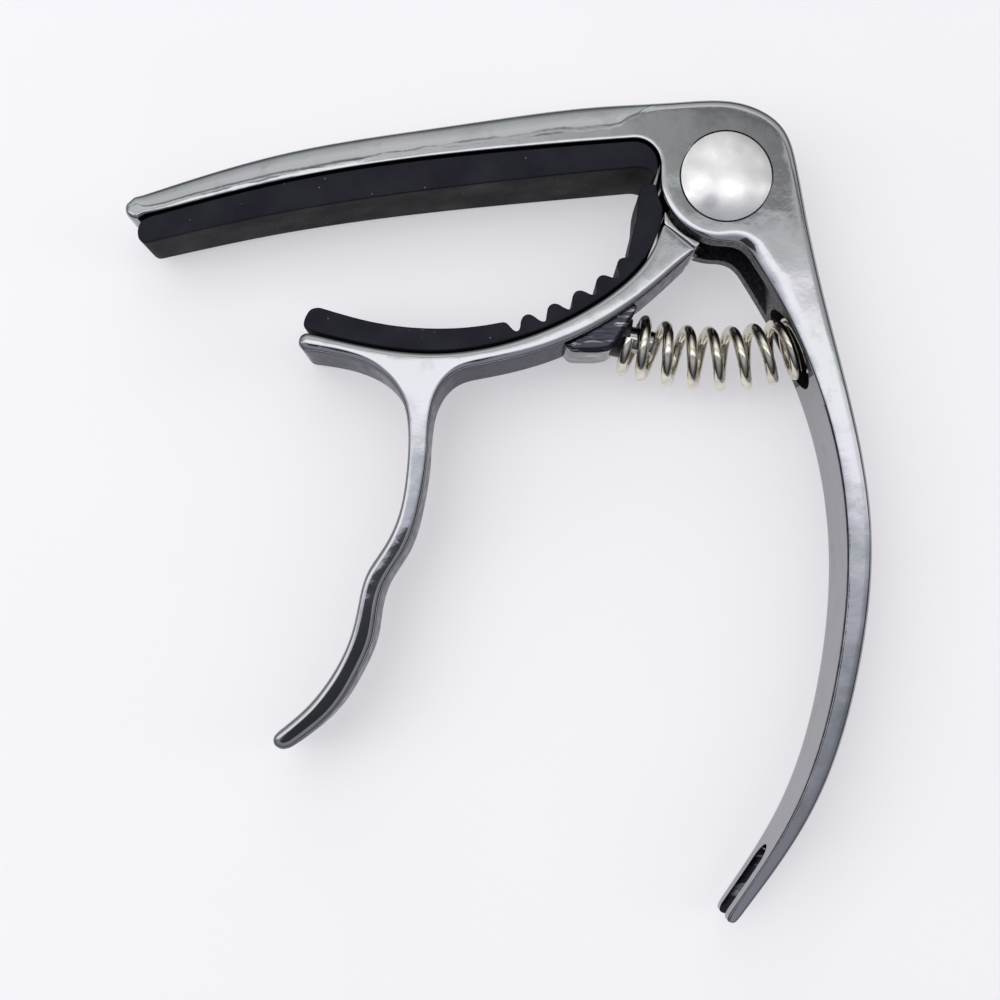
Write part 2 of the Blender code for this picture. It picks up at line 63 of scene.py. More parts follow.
# Half depths of the castings and pads along the pivot axis, and how they thin out away from the pivot.
ARM_HALF = 6.0
ARM_THIN_FROM = 12.0
ARM_TIP_HALF = 4.25
ARM_TIP_X = 68.0
HANDLE_TIP_HALF = 4.25
HANDLE_TIP_Y = 83.0
JAW_HALF = 5.5
TRIGGER_THIN_FROM = 22.0
TRIGGER_TIP_HALF = 4.0
TRIGGER_TIP_Y = 64.5
STRING_PAD_INSET = 0.2
NECK_PAD_HALF = 5.3

# Pivot.
BOSS_RADIUS = 7.5
SLOT_HALF = 3.5
SLOT_RADIUS = 7.2
SLOT_MOUTH = [(0.0, 0.0), (-10.5, -2.1), (-10.5, -14.0), (5.9, -14.2), (5.4, -9.4), (4.9, -5.2)]
TONGUE_HALF = 2.5
TONGUE_RADIUS = 6.6
LEDGE_RADIUS = 7.72
LEDGE_HALF = 4.7
LEDGE_BACK = [(-3.35, -8.1), (-6.95, -5.35), (-6.95, -3.9)]
TONGUE_NECK = [(-6.3, -1.6), (-6.8, -5.9), (-9.4, -9.9), (-6.6, -10.6), (-3.9, -8.2), (-1.1, -6.5)]
SLEEVE_RADIUS = 2.88
BORE_RADIUS = 2.96
CAP_RADIUS = 5.25
CAP_RISE = 0.75
CAP_EDGE = 0.2
CAP_SEAT_RADIUS = 5.33
CAP_SEAT_DEPTH = 0.7
SCREW_HEAD_RADIUS = 4.6
SCREW_SEAT_RADIUS = 4.8
SCREW_SEAT_DEPTH = 1.2
SCREW_RADIUS = 1.85
SCREW_TOP = 2.6
SCREW_CHAMFER = 0.3
SCREW_HEAD_DEPTH = 0.15
THREAD_BORE_RADIUS = 1.95
THREAD_BORE_TOP = 3.2
SLEEVE_END_GAP = 0.1
HEX_ACROSS_FLATS = 2.5
HEX_DEPTH = 1.5
CAP_DARK_PATCH = (-1.8, -3.0, 0.0)
WASHER_RADIUS = 6.2
WASHER_HALF = 0.2
TOUCH_GAP = 0.15

# Spring, its lug and peg on the jaw, and its pocket in the handle.
SPRING_BEND_CENTRE = (-0.6, 10.1)
SPRING_BEND_RADIUS = 30.0
SPRING_COIL_RADIUS = 3.15
SPRING_WIRE_RADIUS = 0.64
SPRING_START = -110.1
SPRING_TURNS = (0.9, 6.05, 1.3)
SPRING_DEGREES_PER_TURN = (3.2, 5.37, 3.2)
SPRING_LUG = [
    (-18.4, -18.9), (-17.5, -19.8), (-14.5, -19.84), (-13.1, -19.6), (-12.4, -18.85), (-10.35, -15.4),
    (-9.9, -14.4), (-11.9, -13.9),
]
LUG_HALF = 4.05
# A near-black disc round the root of the spring's peg: painted shade beside the lug.
SHADE_DISC_RADIUS = 2.35
SHADE_DISC_LENGTH = 1.1
JAW_PEG_RADIUS = 1.5
JAW_PEG_BASE = (-11.75, -17.35)
JAW_PEG_DIRECTION_DEG = -13.0
JAW_PEG_LENGTH = 4.1
JAW_PEG_ROOT = 1.0
POCKET_RADIUS = 5.0
POCKET_FLOOR = (10.3, -17.9)
POCKET_DIRECTION_DEG = 21.0
POCKET_REACH = 9.0

# The wall between the boss and the spring's pocket, which gets the near-black painted shade of the recesses.
THROAT_TOP_Y = -4.0
THROAT_LOW_Y = -22.6
THROAT_RIGHT_X = 10.0
THROAT_LEFT_X = -6.5
INNER_EDGE_TOP_Y = -26.0

# Pads.
PAD_GAP = 0.3
NECK_PAD_INNER_RADIUS = 7.9
TOOTH_COUNT = 5
TOOTH_PITCH = 3.37
TOOTH_START = 24.25
TOOTH_PROFILE = [
    (0.0, 1.1), (0.35, 0.85), (0.75, 1.1), (0.98, 1.7), (1.35, 2.25), (1.95, 2.5), (2.55, 2.3), (2.98, 1.7),
]

# Bridge-pin puller.
PULLER_HALF = 2.15
PULLER_END = (4.4, -75.4)
PULLER_DIRECTION_DEG = -121.0
PULLER_REACH = 14.0
PULLER_CUT_HALF = 5.0

# How far a cutter reaches past the face that it goes through.
CUTTER_END = 8.0

# Knots of the outlines, in the order they run round each piece.
ARM_TOP_EDGE = [
    (-67.6, -1.75), (-50.8, 3.35), (-33.0, 6.3), (-16.1, 8.5), (-4.8, 9.25), (1.85, 9.1), (6.95, 6.05),
    (8.65, 0.9), (11.1, -12.05), (14.5, -26.6), (16.35, -40.1), (14.9, -55.0), (9.3, -71.3), (1.0, -83.0),
]
ARM_TIP = [(-66.9, -4.7), (-67.9, -4.6), (-68.6, -3.7), (-68.6, -2.8)]
HANDLE_TIP = [(0.25, -83.75), (-0.7, -83.3)]
HANDLE_INNER_EDGE = [
    (-0.45, -82.6), (6.75, -71.6), (11.9, -55.6), (13.15, -40.7), (11.5, -28.7), (9.4, -22.0), (6.2, -14.7),
    (2.75, -8.8),
]
THROAT_CORNER = [(1.95, -8.0), (1.05, -7.62)]
ARM_LOWER_EDGE = [(-10.2, 4.45), (-28.3, 3.05), (-49.5, 0.1), (-66.2, -4.0)]
FILLET_CENTRE = (-10.4, 1.45)
FILLET_RADIUS = 3.0
JAW_UPPER_EDGE = [
    (-47.6, -17.75), (-39.7, -19.55), (-32.65, -20.15), (-23.6, -18.6), (-14.2, -14.15), (-8.3, -8.3),
    (-7.05, -5.35),
]
JAW_LOWER_EDGE = [
    (-3.45, -8.25), (-8.9, -13.2), (-14.6, -17.1), (-20.9, -19.8), (-27.9, -21.5), (-30.5, -22.25),
    (-32.5, -24.3), (-33.55, -27.8), (-33.85, -32.0), (-34.6, -37.0), (-36.3, -42.3), (-38.45, -45.8),
    (-39.25, -48.3), (-39.8, -51.9), (-41.3, -55.7), (-44.2, -60.3), (-49.0, -64.35),
]
TRIGGER_TIP = [(-50.0, -64.6), (-50.9, -64.1), (-51.05, -63.3)]
TRIGGER_OUTER_EDGE = [
    (-50.6, -62.7), (-47.4, -60.0), (-44.4, -56.2), (-42.35, -51.9), (-41.5, -48.3), (-40.6, -45.0),
    (-38.7, -42.0), (-37.0, -38.3), (-36.2, -34.0), (-35.95, -29.5), (-36.5, -25.8), (-38.2, -23.1),
    (-41.4, -21.1), (-47.9, -19.75),
]
JAW_TIP = [(-48.45, -19.1), (-48.3, -18.2)]
STRING_PAD_LOWER_EDGE = [(-66.25, -7.3), (-52.9, -4.3), (-34.2, -1.4), (-9.7, 1.15)]
STRING_PAD_HEEL = [(-8.6, 0.8), (-8.15, 0.0), (-7.8, 0.1)]
STRING_PAD_TIP = [(-66.95, -6.8), (-67.1, -5.7), (-66.75, -4.7)]
NECK_PAD_FACE = [(-46.2, -14.85), (-39.8, -16.6), (-32.4, -17.3), (-27.9, -17.0), (-25.0, -16.5)]
NECK_PAD_TIP = [(-47.9, -17.1), (-47.75, -16.2), (-47.15, -15.1)]
NECK_PAD_HEEL = [(-11.1, -8.7), (-10.5, -6.0), (-10.1, -4.5), (-9.95, -2.4), (-9.6, -0.85), (-8.3, -0.6)]

# How the edge of a face is shaped, in millimetres: the draft of the side wall, the width and drop of an
# elliptical round up from it, then the width and drop of a crown that runs out on the flat of the face.
ARM_TOP_SHAPE = (0.1, 0.6, 2.1, 2.6, 0.38)
SHOULDER_SHAPE = (0.3, 0.6, 1.7, 0.6, 0.1)
HANDLE_OUTER_SHAPE = (0.25, 0.8, 2.4, 0.6, 0.06)
HANDLE_OUTER_LOW_SHAPE = (0.2, 0.6, 1.6, 0.6, 0.04)
HANDLE_INNER_SHAPE = (0.0, 0.25, 0.35, 1.0, 0.03)
HANDLE_THROAT_SHAPE = (0.0, 0.3, 0.3, 1.7, 0.25)
BOSS_SHAPE = (0.0, 0.3, 0.45, 0.6, 0.06)
ARM_LOWER_SHAPE = (0.0, 0.12, 0.15, 0.35, 0.02)
TIP_SHAPE = (0.2, 0.8, 1.5, 0.4, 0.05)
JAW_UPPER_SHAPE = (0.0, 0.1, 0.15, 0.5, 0.16)
JAW_LOWER_SHAPE = (0.0, 0.25, 0.4, 0.6, 0.1)
JAW_END_SHAPE = (0.0, 0.1, 0.12, 0.35, 0.07)
JAW_TIP_SHAPE = (0.0, 0.5, 0.8, 0.9, 0.25)
TRIGGER_SHAPE = (0.0, 0.3, 0.5, 0.3, 0.04)
TRIGGER_LOW_SHAPE = (0.0, 0.35, 0.6, 0.5, 0.09)
LUG_SHAPE = (0.0, 0.25, 0.3, 0.55, 0.12)
RUBBER_SHAPE = (0.0, 0.2, 0.2, 0.2, 0.02)

# How quickly the crown of a face flattens out.
CROWN_POWER = 1.8

# The floor, a square sheet, in metres, and the camera, placed in millimetres from the pivot.
FLOOR_SIZE = 0.7
CAMERA_LENS = 56.7
CAMERA_PLACE = (-25.644, -50.125, 181.0)
CAMERA_TILT_DEG = 4.357

# Spacing of the points along an outline, and of the grid that fills a face.
STEP = 0.3
GRID = 0.7

# How many rings of faces make up a side wall, its rounded edge and the crown beside it.
WALL_STEPS = 6
ROUND_STEPS = 8
CROWN_STEPS = 6


# ---- curves


def smooth_run(knots):
    """Points about STEP apart along the natural cubic spline through the knots."""
    knots = np.array(knots, float)
    spans = np.linalg.norm(np.diff(knots, axis=0), axis=1)
    at = np.concatenate([[0.0], np.cumsum(spans)])
    count = len(knots)
    matrix = np.eye(count)
    right = np.zeros((count, 2))
    for i in range(1, count - 1):
        matrix[i, i - 1:i + 2] = spans[i - 1], 2 * (spans[i - 1] + spans[i]), spans[i]
        slope_after = (knots[i + 1] - knots[i]) / spans[i]
        slope_before = (knots[i] - knots[i - 1]) / spans[i - 1]
        right[i] = 6 * (slope_after - slope_before)
    bend = np.linalg.solve(matrix, right)
    samples = np.linspace(0.0, at[-1], max(2, round(at[-1] / STEP) + 1))
    k = np.clip(np.searchsorted(at, samples, side="right") - 1, 0, count - 2)
    after = (samples - at[k])[:, None]
    before = (at[k + 1] - samples)[:, None]
    span = spans[k][:, None]
    points = (bend[k] * before ** 3 + bend[k + 1] * after ** 3) / (6 * span)
    points += (knots[k] / span - bend[k] * span / 6) * before
    points += (knots[k + 1] / span - bend[k + 1] * span / 6) * after
    return points


def arc(centre, radius, start_deg, end_deg):
    count = max(3, round(abs(radians(end_deg - start_deg)) * radius / STEP) + 1)
    angles = np.radians(np.linspace(start_deg, end_deg, count))
    return np.stack([centre[0] + radius * np.cos(angles), centre[1] + radius * np.sin(angles)], axis=1)


def offset_run(run, distance):
    """The run moved sideways, to the left of its direction of travel."""
    points = np.array(run)
    along = np.gradient(points, axis=0)
    along /= np.linalg.norm(along, axis=1)[:, None]
    left = np.stack([-along[:, 1], along[:, 0]], axis=1)
    return points + left * distance


def at_distance(run, distance, height):
    """The point that far along a run and that high to its left."""
    raised = offset_run(run, height)
    along = np.concatenate([[0.0], np.cumsum(np.linalg.norm(np.diff(run, axis=0), axis=1))])
    return tuple(np.interp(distance, along, raised[:, axis]) for axis in (0, 1))


def on_circle(radius, angle_deg):
    angle = radians(angle_deg)
    return radius * cos(angle), radius * sin(angle)


def closed_lengths(points):
    """Distance along a closed outline at each point, and all the way round."""
    steps = np.linalg.norm(np.roll(points, -1, axis=0) - points, axis=1)
    return np.concatenate([[0.0], np.cumsum(steps)[:-1]]), steps.sum()


def blurred(values, reach):
    """Values along a closed outline, averaged with their neighbours over a bell of that many points."""
    total = np.zeros_like(values, float)
    weights = np.exp(-0.5 * (np.arange(-3 * reach, 3 * reach + 1) / reach) ** 2)
    for shift, weight in zip(range(-3 * reach, 3 * reach + 1), weights / weights.sum()):
        total += np.roll(values, shift, axis=0) * weight
    return total


class Outline:
    """A closed outline made of stretches, with the edge shape that each stretch asks for."""

    def __init__(self, *stretches):
        """Each stretch is its points and their edge shape, or the shapes at its two ends."""
        self.points = []
        self.shapes = []
        for points, *ends in stretches:
            share = np.linspace(0.0, 1.0, len(points))[:, None]
            self.points.append(np.array(points, float))
            self.shapes.append(np.array(ends[0]) * (1 - share) + np.array(ends[-1]) * share)

    def even(self):
        """(points, shapes) at even steps round the outline, counter-clockwise, with its corners eased."""
        points = np.concatenate(self.points)
        shapes = np.concatenate(self.shapes)
        area = np.sum(points[:, 0] * np.roll(points[:, 1], -1) - points[:, 1] * np.roll(points[:, 0], -1))
        if area < 0:
            points, shapes = points[::-1], shapes[::-1]
        keep = np.linalg.norm(points - np.roll(points, 1, axis=0), axis=1) > 1e-4
        points, shapes = points[keep], shapes[keep]
        along, total = closed_lengths(points)
        wanted = np.arange(round(total / STEP)) * (total / round(total / STEP))
        wrapped = np.append(along, total)
        points, shapes = [
            np.stack([np.interp(wanted, wrapped, np.append(column, column[0])) for column in values.T], 1)
            for values in (points, shapes)
        ]
        return blurred(points, 1), blurred(shapes, 6)


def inward(points):
    """Unit vectors that point into a counter-clockwise outline."""
    along = np.roll(points, -1, axis=0) - np.roll(points, 1, axis=0)
    along /= np.linalg.norm(along, axis=1)[:, None]
    return np.stack([-along[:, 1], along[:, 0]], axis=1)


def room_inside(points, normals, most):
    """How far each point can move inwards before another side of the outline is nearer."""
    low = np.zeros(len(points))
    high = np.full(len(points), most)
    for _ in range(12):
        middle = (low + high) / 2
        moved = points + normals * middle[:, None]
        nearest = np.min(np.linalg.norm(moved[:, None, :] - points[None, :, :], axis=2), axis=1)
        fits = nearest > middle * 0.97 - 0.01
        low = np.where(fits, middle, low)
        high = np.where(fits, high, middle)
    return low


def share_of_room(points, normals, room, wanted):
    """What part of its wanted inset each point can take, when it shares the width with the side it faces."""
    middle = points + normals * (room * 1.05)[:, None]
    apart = np.linalg.norm(middle[:, None, :] - points[None, :, :], axis=2)
    facing = np.argmin(apart, axis=1)
    count = len(points)
    steps = np.abs(facing - np.arange(count))
    steps = np.minimum(steps, count - steps)
    along = steps * STEP
    across = (along > 3 * room) & (np.einsum("ij,ij->i", normals, normals[facing]) < -0.7)
    alone = 0.86 * room / wanted
    shared = 0.9 * 2 * room / (wanted + wanted[facing])
    return np.where(across, shared, alone)


# ---- meshes


def thinning(beyond, reach, loss):
    """Depth lost that far beyond the line where a casting starts to thin: loss at reach, starting gently."""
    ease = 8.0
    eased = np.where(beyond > ease, beyond, (np.maximum(beyond, -ease) + ease) ** 2 / (4 * ease))
    return loss * eased / reach


def arm_half_depth(x, y):
    arm = thinning(-x - ARM_THIN_FROM, ARM_TIP_X - ARM_THIN_FROM, ARM_HALF - ARM_TIP_HALF)
    handle = thinning(-y - ARM_THIN_FROM, HANDLE_TIP_Y - ARM_THIN_FROM, ARM_HALF - HANDLE_TIP_HALF)
    return ARM_HALF - arm - handle


def jaw_half_depth(x, y):
    lost = thinning(-y - TRIGGER_THIN_FROM, TRIGGER_TIP_Y - TRIGGER_THIN_FROM, JAW_HALF - TRIGGER_TIP_HALF)
    return JAW_HALF - lost + 0.0 * x


def string_pad_half_depth(x, y):
    return arm_half_depth(x, 0.0 * y) - STRING_PAD_INSET


def flat(half):
    """A face at one half depth everywhere."""
    return lambda x, y: half + 0.0 * (x + y)


def folded_places(ring):
    """Which points of a ring start a side that crosses another side within a few places of it."""
    ends = np.roll(ring, -1, axis=0)
    folded = np.zeros(len(ring), bool)
    for apart in range(2, 12):
        other = np.roll(ring, -apart, axis=0)
        other_ends = np.roll(ends, -apart, axis=0)
        splits = side_of(ring, ends, other) * side_of(ring, ends, other_ends) < 0
        splits &= side_of(other, other_ends, ring) * side_of(other, other_ends, ends) < 0
        folded |= splits | np.roll(splits, apart)
    return folded


def side_of(start, end, point):
    """Positive where a point lies to the left of the line from start to end."""
    along = end - start
    away = point - start
    return along[:, 0] * away[:, 1] - along[:, 1] * away[:, 0]


def edge_rings(points, shapes, half_depth):
    """Rings of (x, y, z) from the middle plane up the wall, over the round and the crown, to the flat."""
    normals = inward(points)

    def moved(inset):
        return points + normals * inset[:, None]

    draft, width, height, crown, drop = shapes.T
    slope = CROWN_POWER * drop / crown
    last_turn = np.arctan2(height, width * slope)
    round_width = width * (1 - np.cos(last_turn))
    wanted = draft + round_width + crown
    room = room_inside(points, normals, float(wanted.max()) * 1.3)
    shrink = np.minimum(1.0, share_of_room(points, normals, room, wanted))
    for _ in range(4):
        shrink = np.minimum(shrink, blurred(shrink, 3))
    crossed = folded_places(moved(wanted * shrink))
    while crossed.any():
        shrink = shrink * (1 - 0.3 * np.minimum(1.0, blurred(crossed.astype(float), 3) * 8))
        crossed = folded_places(moved(wanted * shrink))
    rings = []
    for i in range(ROUND_STEPS + 1):
        turn = last_turn * i / ROUND_STEPS
        rings.append((draft + width * (1 - np.cos(turn)), drop + height * (np.sin(last_turn) - np.sin(turn))))
    for i in range(1, CROWN_STEPS + 1):
        share = i / CROWN_STEPS
        rings.append((draft + round_width + crown * share, drop * (1 - share) ** CROWN_POWER))
    made = []
    for inset, below in rings:
        x, y = moved(inset * shrink).T
        made.append(np.stack([x, y, half_depth(x, y) - below * shrink], axis=1))
    wall = []
    for i in range(WALL_STEPS):
        share = i / WALL_STEPS
        x, y = moved(draft * shrink * share).T
        wall.append(np.stack([x, y, made[0][:, 2] * share], axis=1))
    return wall + made


def grid_inside(border, spacing):
    """Points of a staggered grid that lie inside a closed border and clear of it."""
    low = border.min(axis=0)
    high = border.max(axis=0)
    rows = np.arange(low[1], high[1], spacing * 0.866)
    found = []
    for row, y in enumerate(rows):
        x = np.arange(low[0] + spacing * 0.5 * (row % 2), high[0], spacing)
        found.append(np.stack([x, np.full_like(x, y)], axis=1))
    grid = np.concatenate(found)
    ends = np.roll(border, -1, axis=0)
    crossings = np.zeros(len(grid), int)
    for start, end in zip(border, ends):
        if start[1] == end[1]:
            continue
        spans = (start[1] > grid[:, 1]) != (end[1] > grid[:, 1])
        cut = (end[0] - start[0]) * (grid[:, 1] - start[1]) / (end[1] - start[1]) + start[0]
        crossings += spans & (grid[:, 0] < cut)
    grid = grid[crossings % 2 == 1]
    if len(grid) == 0:
        return grid
    clear = np.min(np.linalg.norm(grid[:, None, :] - border[None, :, :], axis=2), axis=1)
    return grid[clear > spacing * 0.5]


def fill_face(border, half_depth):
    """(points, triangles) of the flat of a face: its border first, then the grid inside."""
    inner = grid_inside(border[:, :2], GRID)
    flat = [Vector(p) for p in np.concatenate([border[:, :2], inner])]
    count = len(border)
    edges = [(i, (i + 1) % count) for i in range(count)]
    made = delaunay_2d_cdt(flat, edges, [list(range(count))], 1, 1e-6)
    verts, _, faces, origins = made[:4]
    if len(verts) != len(flat):
        raise RuntimeError(f"the face's border crosses itself: {len(flat)} points became {len(verts)}")
    order = [o[0] for o in origins]
    triangles = [tuple(order[i] for i in face) for face in faces]
    z = half_depth(inner[:, 0], inner[:, 1])
    return np.column_stack([inner, z]), triangles


def band(first, second, count):
    """Four-sided faces between two rings of vertices, from the number of the first one in each."""
    places = [(i, (i + 1) % count) for i in range(count)]
    return [(first + i, second + i, second + j, first + j) for i, j in places]


def plate_mesh(name, outline, half_depth):
    """A plate with shaped edges on both faces, closed, as a mesh object in the scene's frame."""
    points, shapes = outline.even()
    rings = edge_rings(points, shapes, half_depth)
    inner, triangles = fill_face(rings[-1], half_depth)
    mirror = np.array([1.0, 1.0, -1.0])
    stack = rings[::-1] + [ring * mirror for ring in rings[1:]]
    verts = np.concatenate(stack + [inner, inner * mirror])
    count = len(points)
    faces = []
    for row in range(len(stack) - 1):
        faces += band(row * count, (row + 1) * count, count)
    first_inner = len(stack) * count
    last_ring = (len(stack) - 1) * count
    for tri in triangles:
        faces.append(tuple(i if i < count else first_inner + i - count for i in tri))
        back = [last_ring + i if i < count else first_inner + len(inner) + i - count for i in tri]
        faces.append(tuple(back[::-1]))
    return add_mesh(name, verts, faces)


def add_object(name, data):
    obj = bpy.data.objects.new(name, data)
    bpy.context.scene.collection.objects.link(obj)
    return obj


def add_mesh(name, verts, faces):
    """A smooth mesh object from points in millimetres about the pivot."""
    mesh = bpy.data.meshes.new(name)
    placed = np.array(verts, float) * MM + np.array(PIVOT)
    mesh.from_pydata([tuple(v) for v in placed], [], [tuple(f) for f in faces])
    bm = bmesh.new()
    bm.from_mesh(mesh)
    bmesh.ops.recalc_face_normals(bm, faces=bm.faces)
    bm.to_mesh(mesh)
    bm.free()
    mesh.shade_smooth()
    return add_object(name, mesh)


def prism(name, outline, half):
    """A straight-sided plate, used to cut or to add."""
    outline = np.array(outline, float)
    count = len(outline)
    verts = [(x, y, -half) for x, y in outline] + [(x, y, half) for x, y in outline]
    faces = [tuple(range(count)), tuple(range(2 * count - 1, count - 1, -1))]
    return add_mesh(name, verts, faces + band(0, count, count))


def turned(name, profile, segments=128, ring=False):
    """A profile of (radius, height) points turned about the z axis."""
    angles = np.radians(np.arange(segments) * 360.0 / segments)
    verts = []
    rows = []
    for radius, height in profile:
        if radius < 1e-6:
            rows.append([len(verts)] * segments)
            verts.append((0.0, 0.0, height))
            continue
        rows.append(list(range(len(verts), len(verts) + segments)))
        verts += [(radius * cos(a), radius * sin(a), height) for a in angles]
    pairs = list(zip(rows, rows[1:]))
    if ring:
        pairs.append((rows[-1], rows[0]))
    faces = []
    for upper, lower in pairs:
        for i in range(segments):
            j = (i + 1) % segments
            corners = [upper[i], upper[j], lower[j], lower[i]]
            kept = [c for k, c in enumerate(corners) if c != corners[k - 1]]
            if len(kept) > 2:
                faces.append(tuple(kept))
    return add_mesh(name, verts, faces)


def rounded(corners, radius, steps=5):
    """A run of (radius, height) corners whose inner ones are rounded; the two ends stay sharp."""
    corners = [np.array(c, float) for c in corners]
    made = [tuple(corners[0])]
    for before, corner, after in zip(corners, corners[1:], corners[2:]):
        towards = (before - corner) / np.linalg.norm(before - corner)
        away = (after - corner) / np.linalg.norm(after - corner)
        reach = min(radius, 0.45 * np.linalg.norm(before - corner), 0.45 * np.linalg.norm(after - corner))
        start = corner + towards * reach
        end = corner + away * reach
        for share in np.linspace(0.0, 1.0, steps):
            bend = start * (1 - share) ** 2 + corner * 2 * share * (1 - share) + end * share ** 2
            made.append(tuple(bend))
    made.append(tuple(corners[-1]))
    return made


def spot(point):
    """A point of the middle plane, in the scene's frame."""
    return PIVOT + Vector((point[0], point[1], 0.0)) * MM


def lie_along(obj, point, angle_deg, start_axis="Y"):
    """Turns a shape made round the pivot about start_axis, then to angle_deg, and moves it to point."""
    turn = Matrix.Rotation(radians(angle_deg), 4, "Z") @ Matrix.Rotation(radians(90), 4, start_axis)
    obj.data.transform(Matrix.Translation(spot(point)) @ turn @ Matrix.Translation(-PIVOT))
    return obj


def combine(obj, tools, operation):
    """Applies Booleans with each tool in turn and removes the tools."""
    for tool in tools:
        modifier = obj.modifiers.new(tool.name, "BOOLEAN")
        modifier.operation = operation
        modifier.object = tool
        modifier.solver = "EXACT"
        modifier.material_mode = "TRANSFER"
        graph = bpy.context.evaluated_depsgraph_get()
        mesh = bpy.data.meshes.new_from_object(obj.evaluated_get(graph))
        obj.modifiers.clear()
        obj.data = mesh
        bpy.data.objects.remove(tool, do_unlink=True)
    return obj


def finish_edges(obj, angle_deg=32):
    obj.data.shade_smooth()
    obj.data.set_sharp_from_angle(angle=radians(angle_deg))
    return obj


# ---- materials


class Tree:
    """A node tree, with short ways to add and join nodes."""

    def __init__(self, tree):
        self.tree = tree

    def add(self, kind, **values):
        node = self.tree.nodes.new(kind)
        for key, value in values.items():
            setattr(node, key, value)
        return node

    def join(self, output, socket):
        self.tree.links.new(output, socket)

    def fill(self, node, **values):
        """Joins each named input to an output, or sets it to a plain value."""
        for key, value in values.items():
            socket = node.inputs[key.replace("_", " ")]
            if isinstance(value, bpy.types.NodeSocket):
                self.join(value, socket)
            else:
                socket.default_value = value

    def span(self, value, low, high, out_low, out_high):
        """Maps low..high to out_low..out_high, held at both ends."""
        node = self.add("ShaderNodeMapRange")
        self.fill(node, Value=value, From_Min=low, From_Max=high, To_Min=out_low, To_Max=out_high)
        return node.outputs["Result"]

    def math(self, operation, first, second=0.0):
        node = self.add("ShaderNodeMath", operation=operation)
        for socket, value in zip(node.inputs, (first, second)):
            if isinstance(value, (int, float)):
                socket.default_value = value
            else:
                self.join(value, socket)
        return node.outputs["Value"]

    def times(self, first, second):
        return self.math("MULTIPLY", first, second)

    def plus(self, first, second):
        return self.math("ADD", first, second)

    def less(self, first, second):
        return self.math("SUBTRACT", first, second)

    def mix(self, share, first, second):
        """A colour between two colours or outputs."""
        node = self.add("ShaderNodeMix", data_type="RGBA")
        self.join(share, node.inputs["Factor"])
        for socket, value in ((node.inputs[6], first), (node.inputs[7], second)):
            if isinstance(value, tuple):
                socket.default_value = (*value, 1.0)
            else:
                self.join(value, socket)
        return node.outputs[2]

    def between(self, value, low, full, last, high):
        """1 from full to last, falling to 0 at low and at high."""
        rise = self.span(value, low, full, 0.0, 1.0)
        return self.times(rise, self.span(value, last, high, 1.0, 0.0))

    def blended(self, value, low, high, first, second):
        """From the first colour at low to the second at high."""
        return self.mix(self.span(value, low, high, 0.0, 1.0), first, second)


class Nodes(Tree):
    """A material, with its textures in the object's own space and in millimetres."""

    def __init__(self, name, **values):
        self.material = bpy.data.materials.new(name)
        self.material.use_nodes = True
        super().__init__(self.material.node_tree)
        self.shader = self.tree.nodes["Principled BSDF"]
        self.place = self.add("ShaderNodeTexCoord").outputs["Object"]
        self.fill(self.shader, **values)

    def made(self, base_color, roughness, normal):
        """The material, once its shader is joined up."""
        self.fill(self.shader, Base_Color=base_color, Roughness=roughness, Normal=normal)
        return self.material

    def vector(self, operation, first, second=None):
        """A sum over vectors; the second is a fixed one."""
        node = self.add("ShaderNodeVectorMath", operation=operation)
        self.join(first, node.inputs[0])
        if second is not None:
            node.inputs[1].default_value = second
        return node.outputs["Value" if operation in ("LENGTH", "DISTANCE") else "Vector"]

    def stretched(self, scale, turn_deg=0.0):
        """Places scaled by those factors, after a turn about z."""
        node = self.add("ShaderNodeMapping")
        self.fill(node, Vector=self.place, Scale=scale, Rotation=(0.0, 0.0, radians(turn_deg)))
        return node.outputs["Vector"]

    def noise(self, size_mm, detail=3.0, rough=0.5, place=None):
        """Noise whose lumps are about that size."""
        node = self.add("ShaderNodeTexNoise")
        place = self.place if place is None else place
        self.fill(node, Vector=place, Scale=1.0 / (size_mm * MM), Detail=detail, Roughness=rough)
        return node.outputs["Fac"]

    def spots(self, spacing_mm, size):
        """1 inside small scattered spots, 0 between them."""
        node = self.add("ShaderNodeTexVoronoi")
        self.fill(node, Vector=self.place, Scale=1.0 / (spacing_mm * MM))
        return self.span(node.outputs["Distance"], size, size * 0.4, 0.0, 1.0)

    def bump(self, height, depth_mm, strength=1.0, under=None):
        node = self.add("ShaderNodeBump")
        self.fill(node, Height=height, Distance=depth_mm * MM, Strength=strength)
        if under is not None:
            self.fill(node, Normal=under)
        return node.outputs["Normal"]


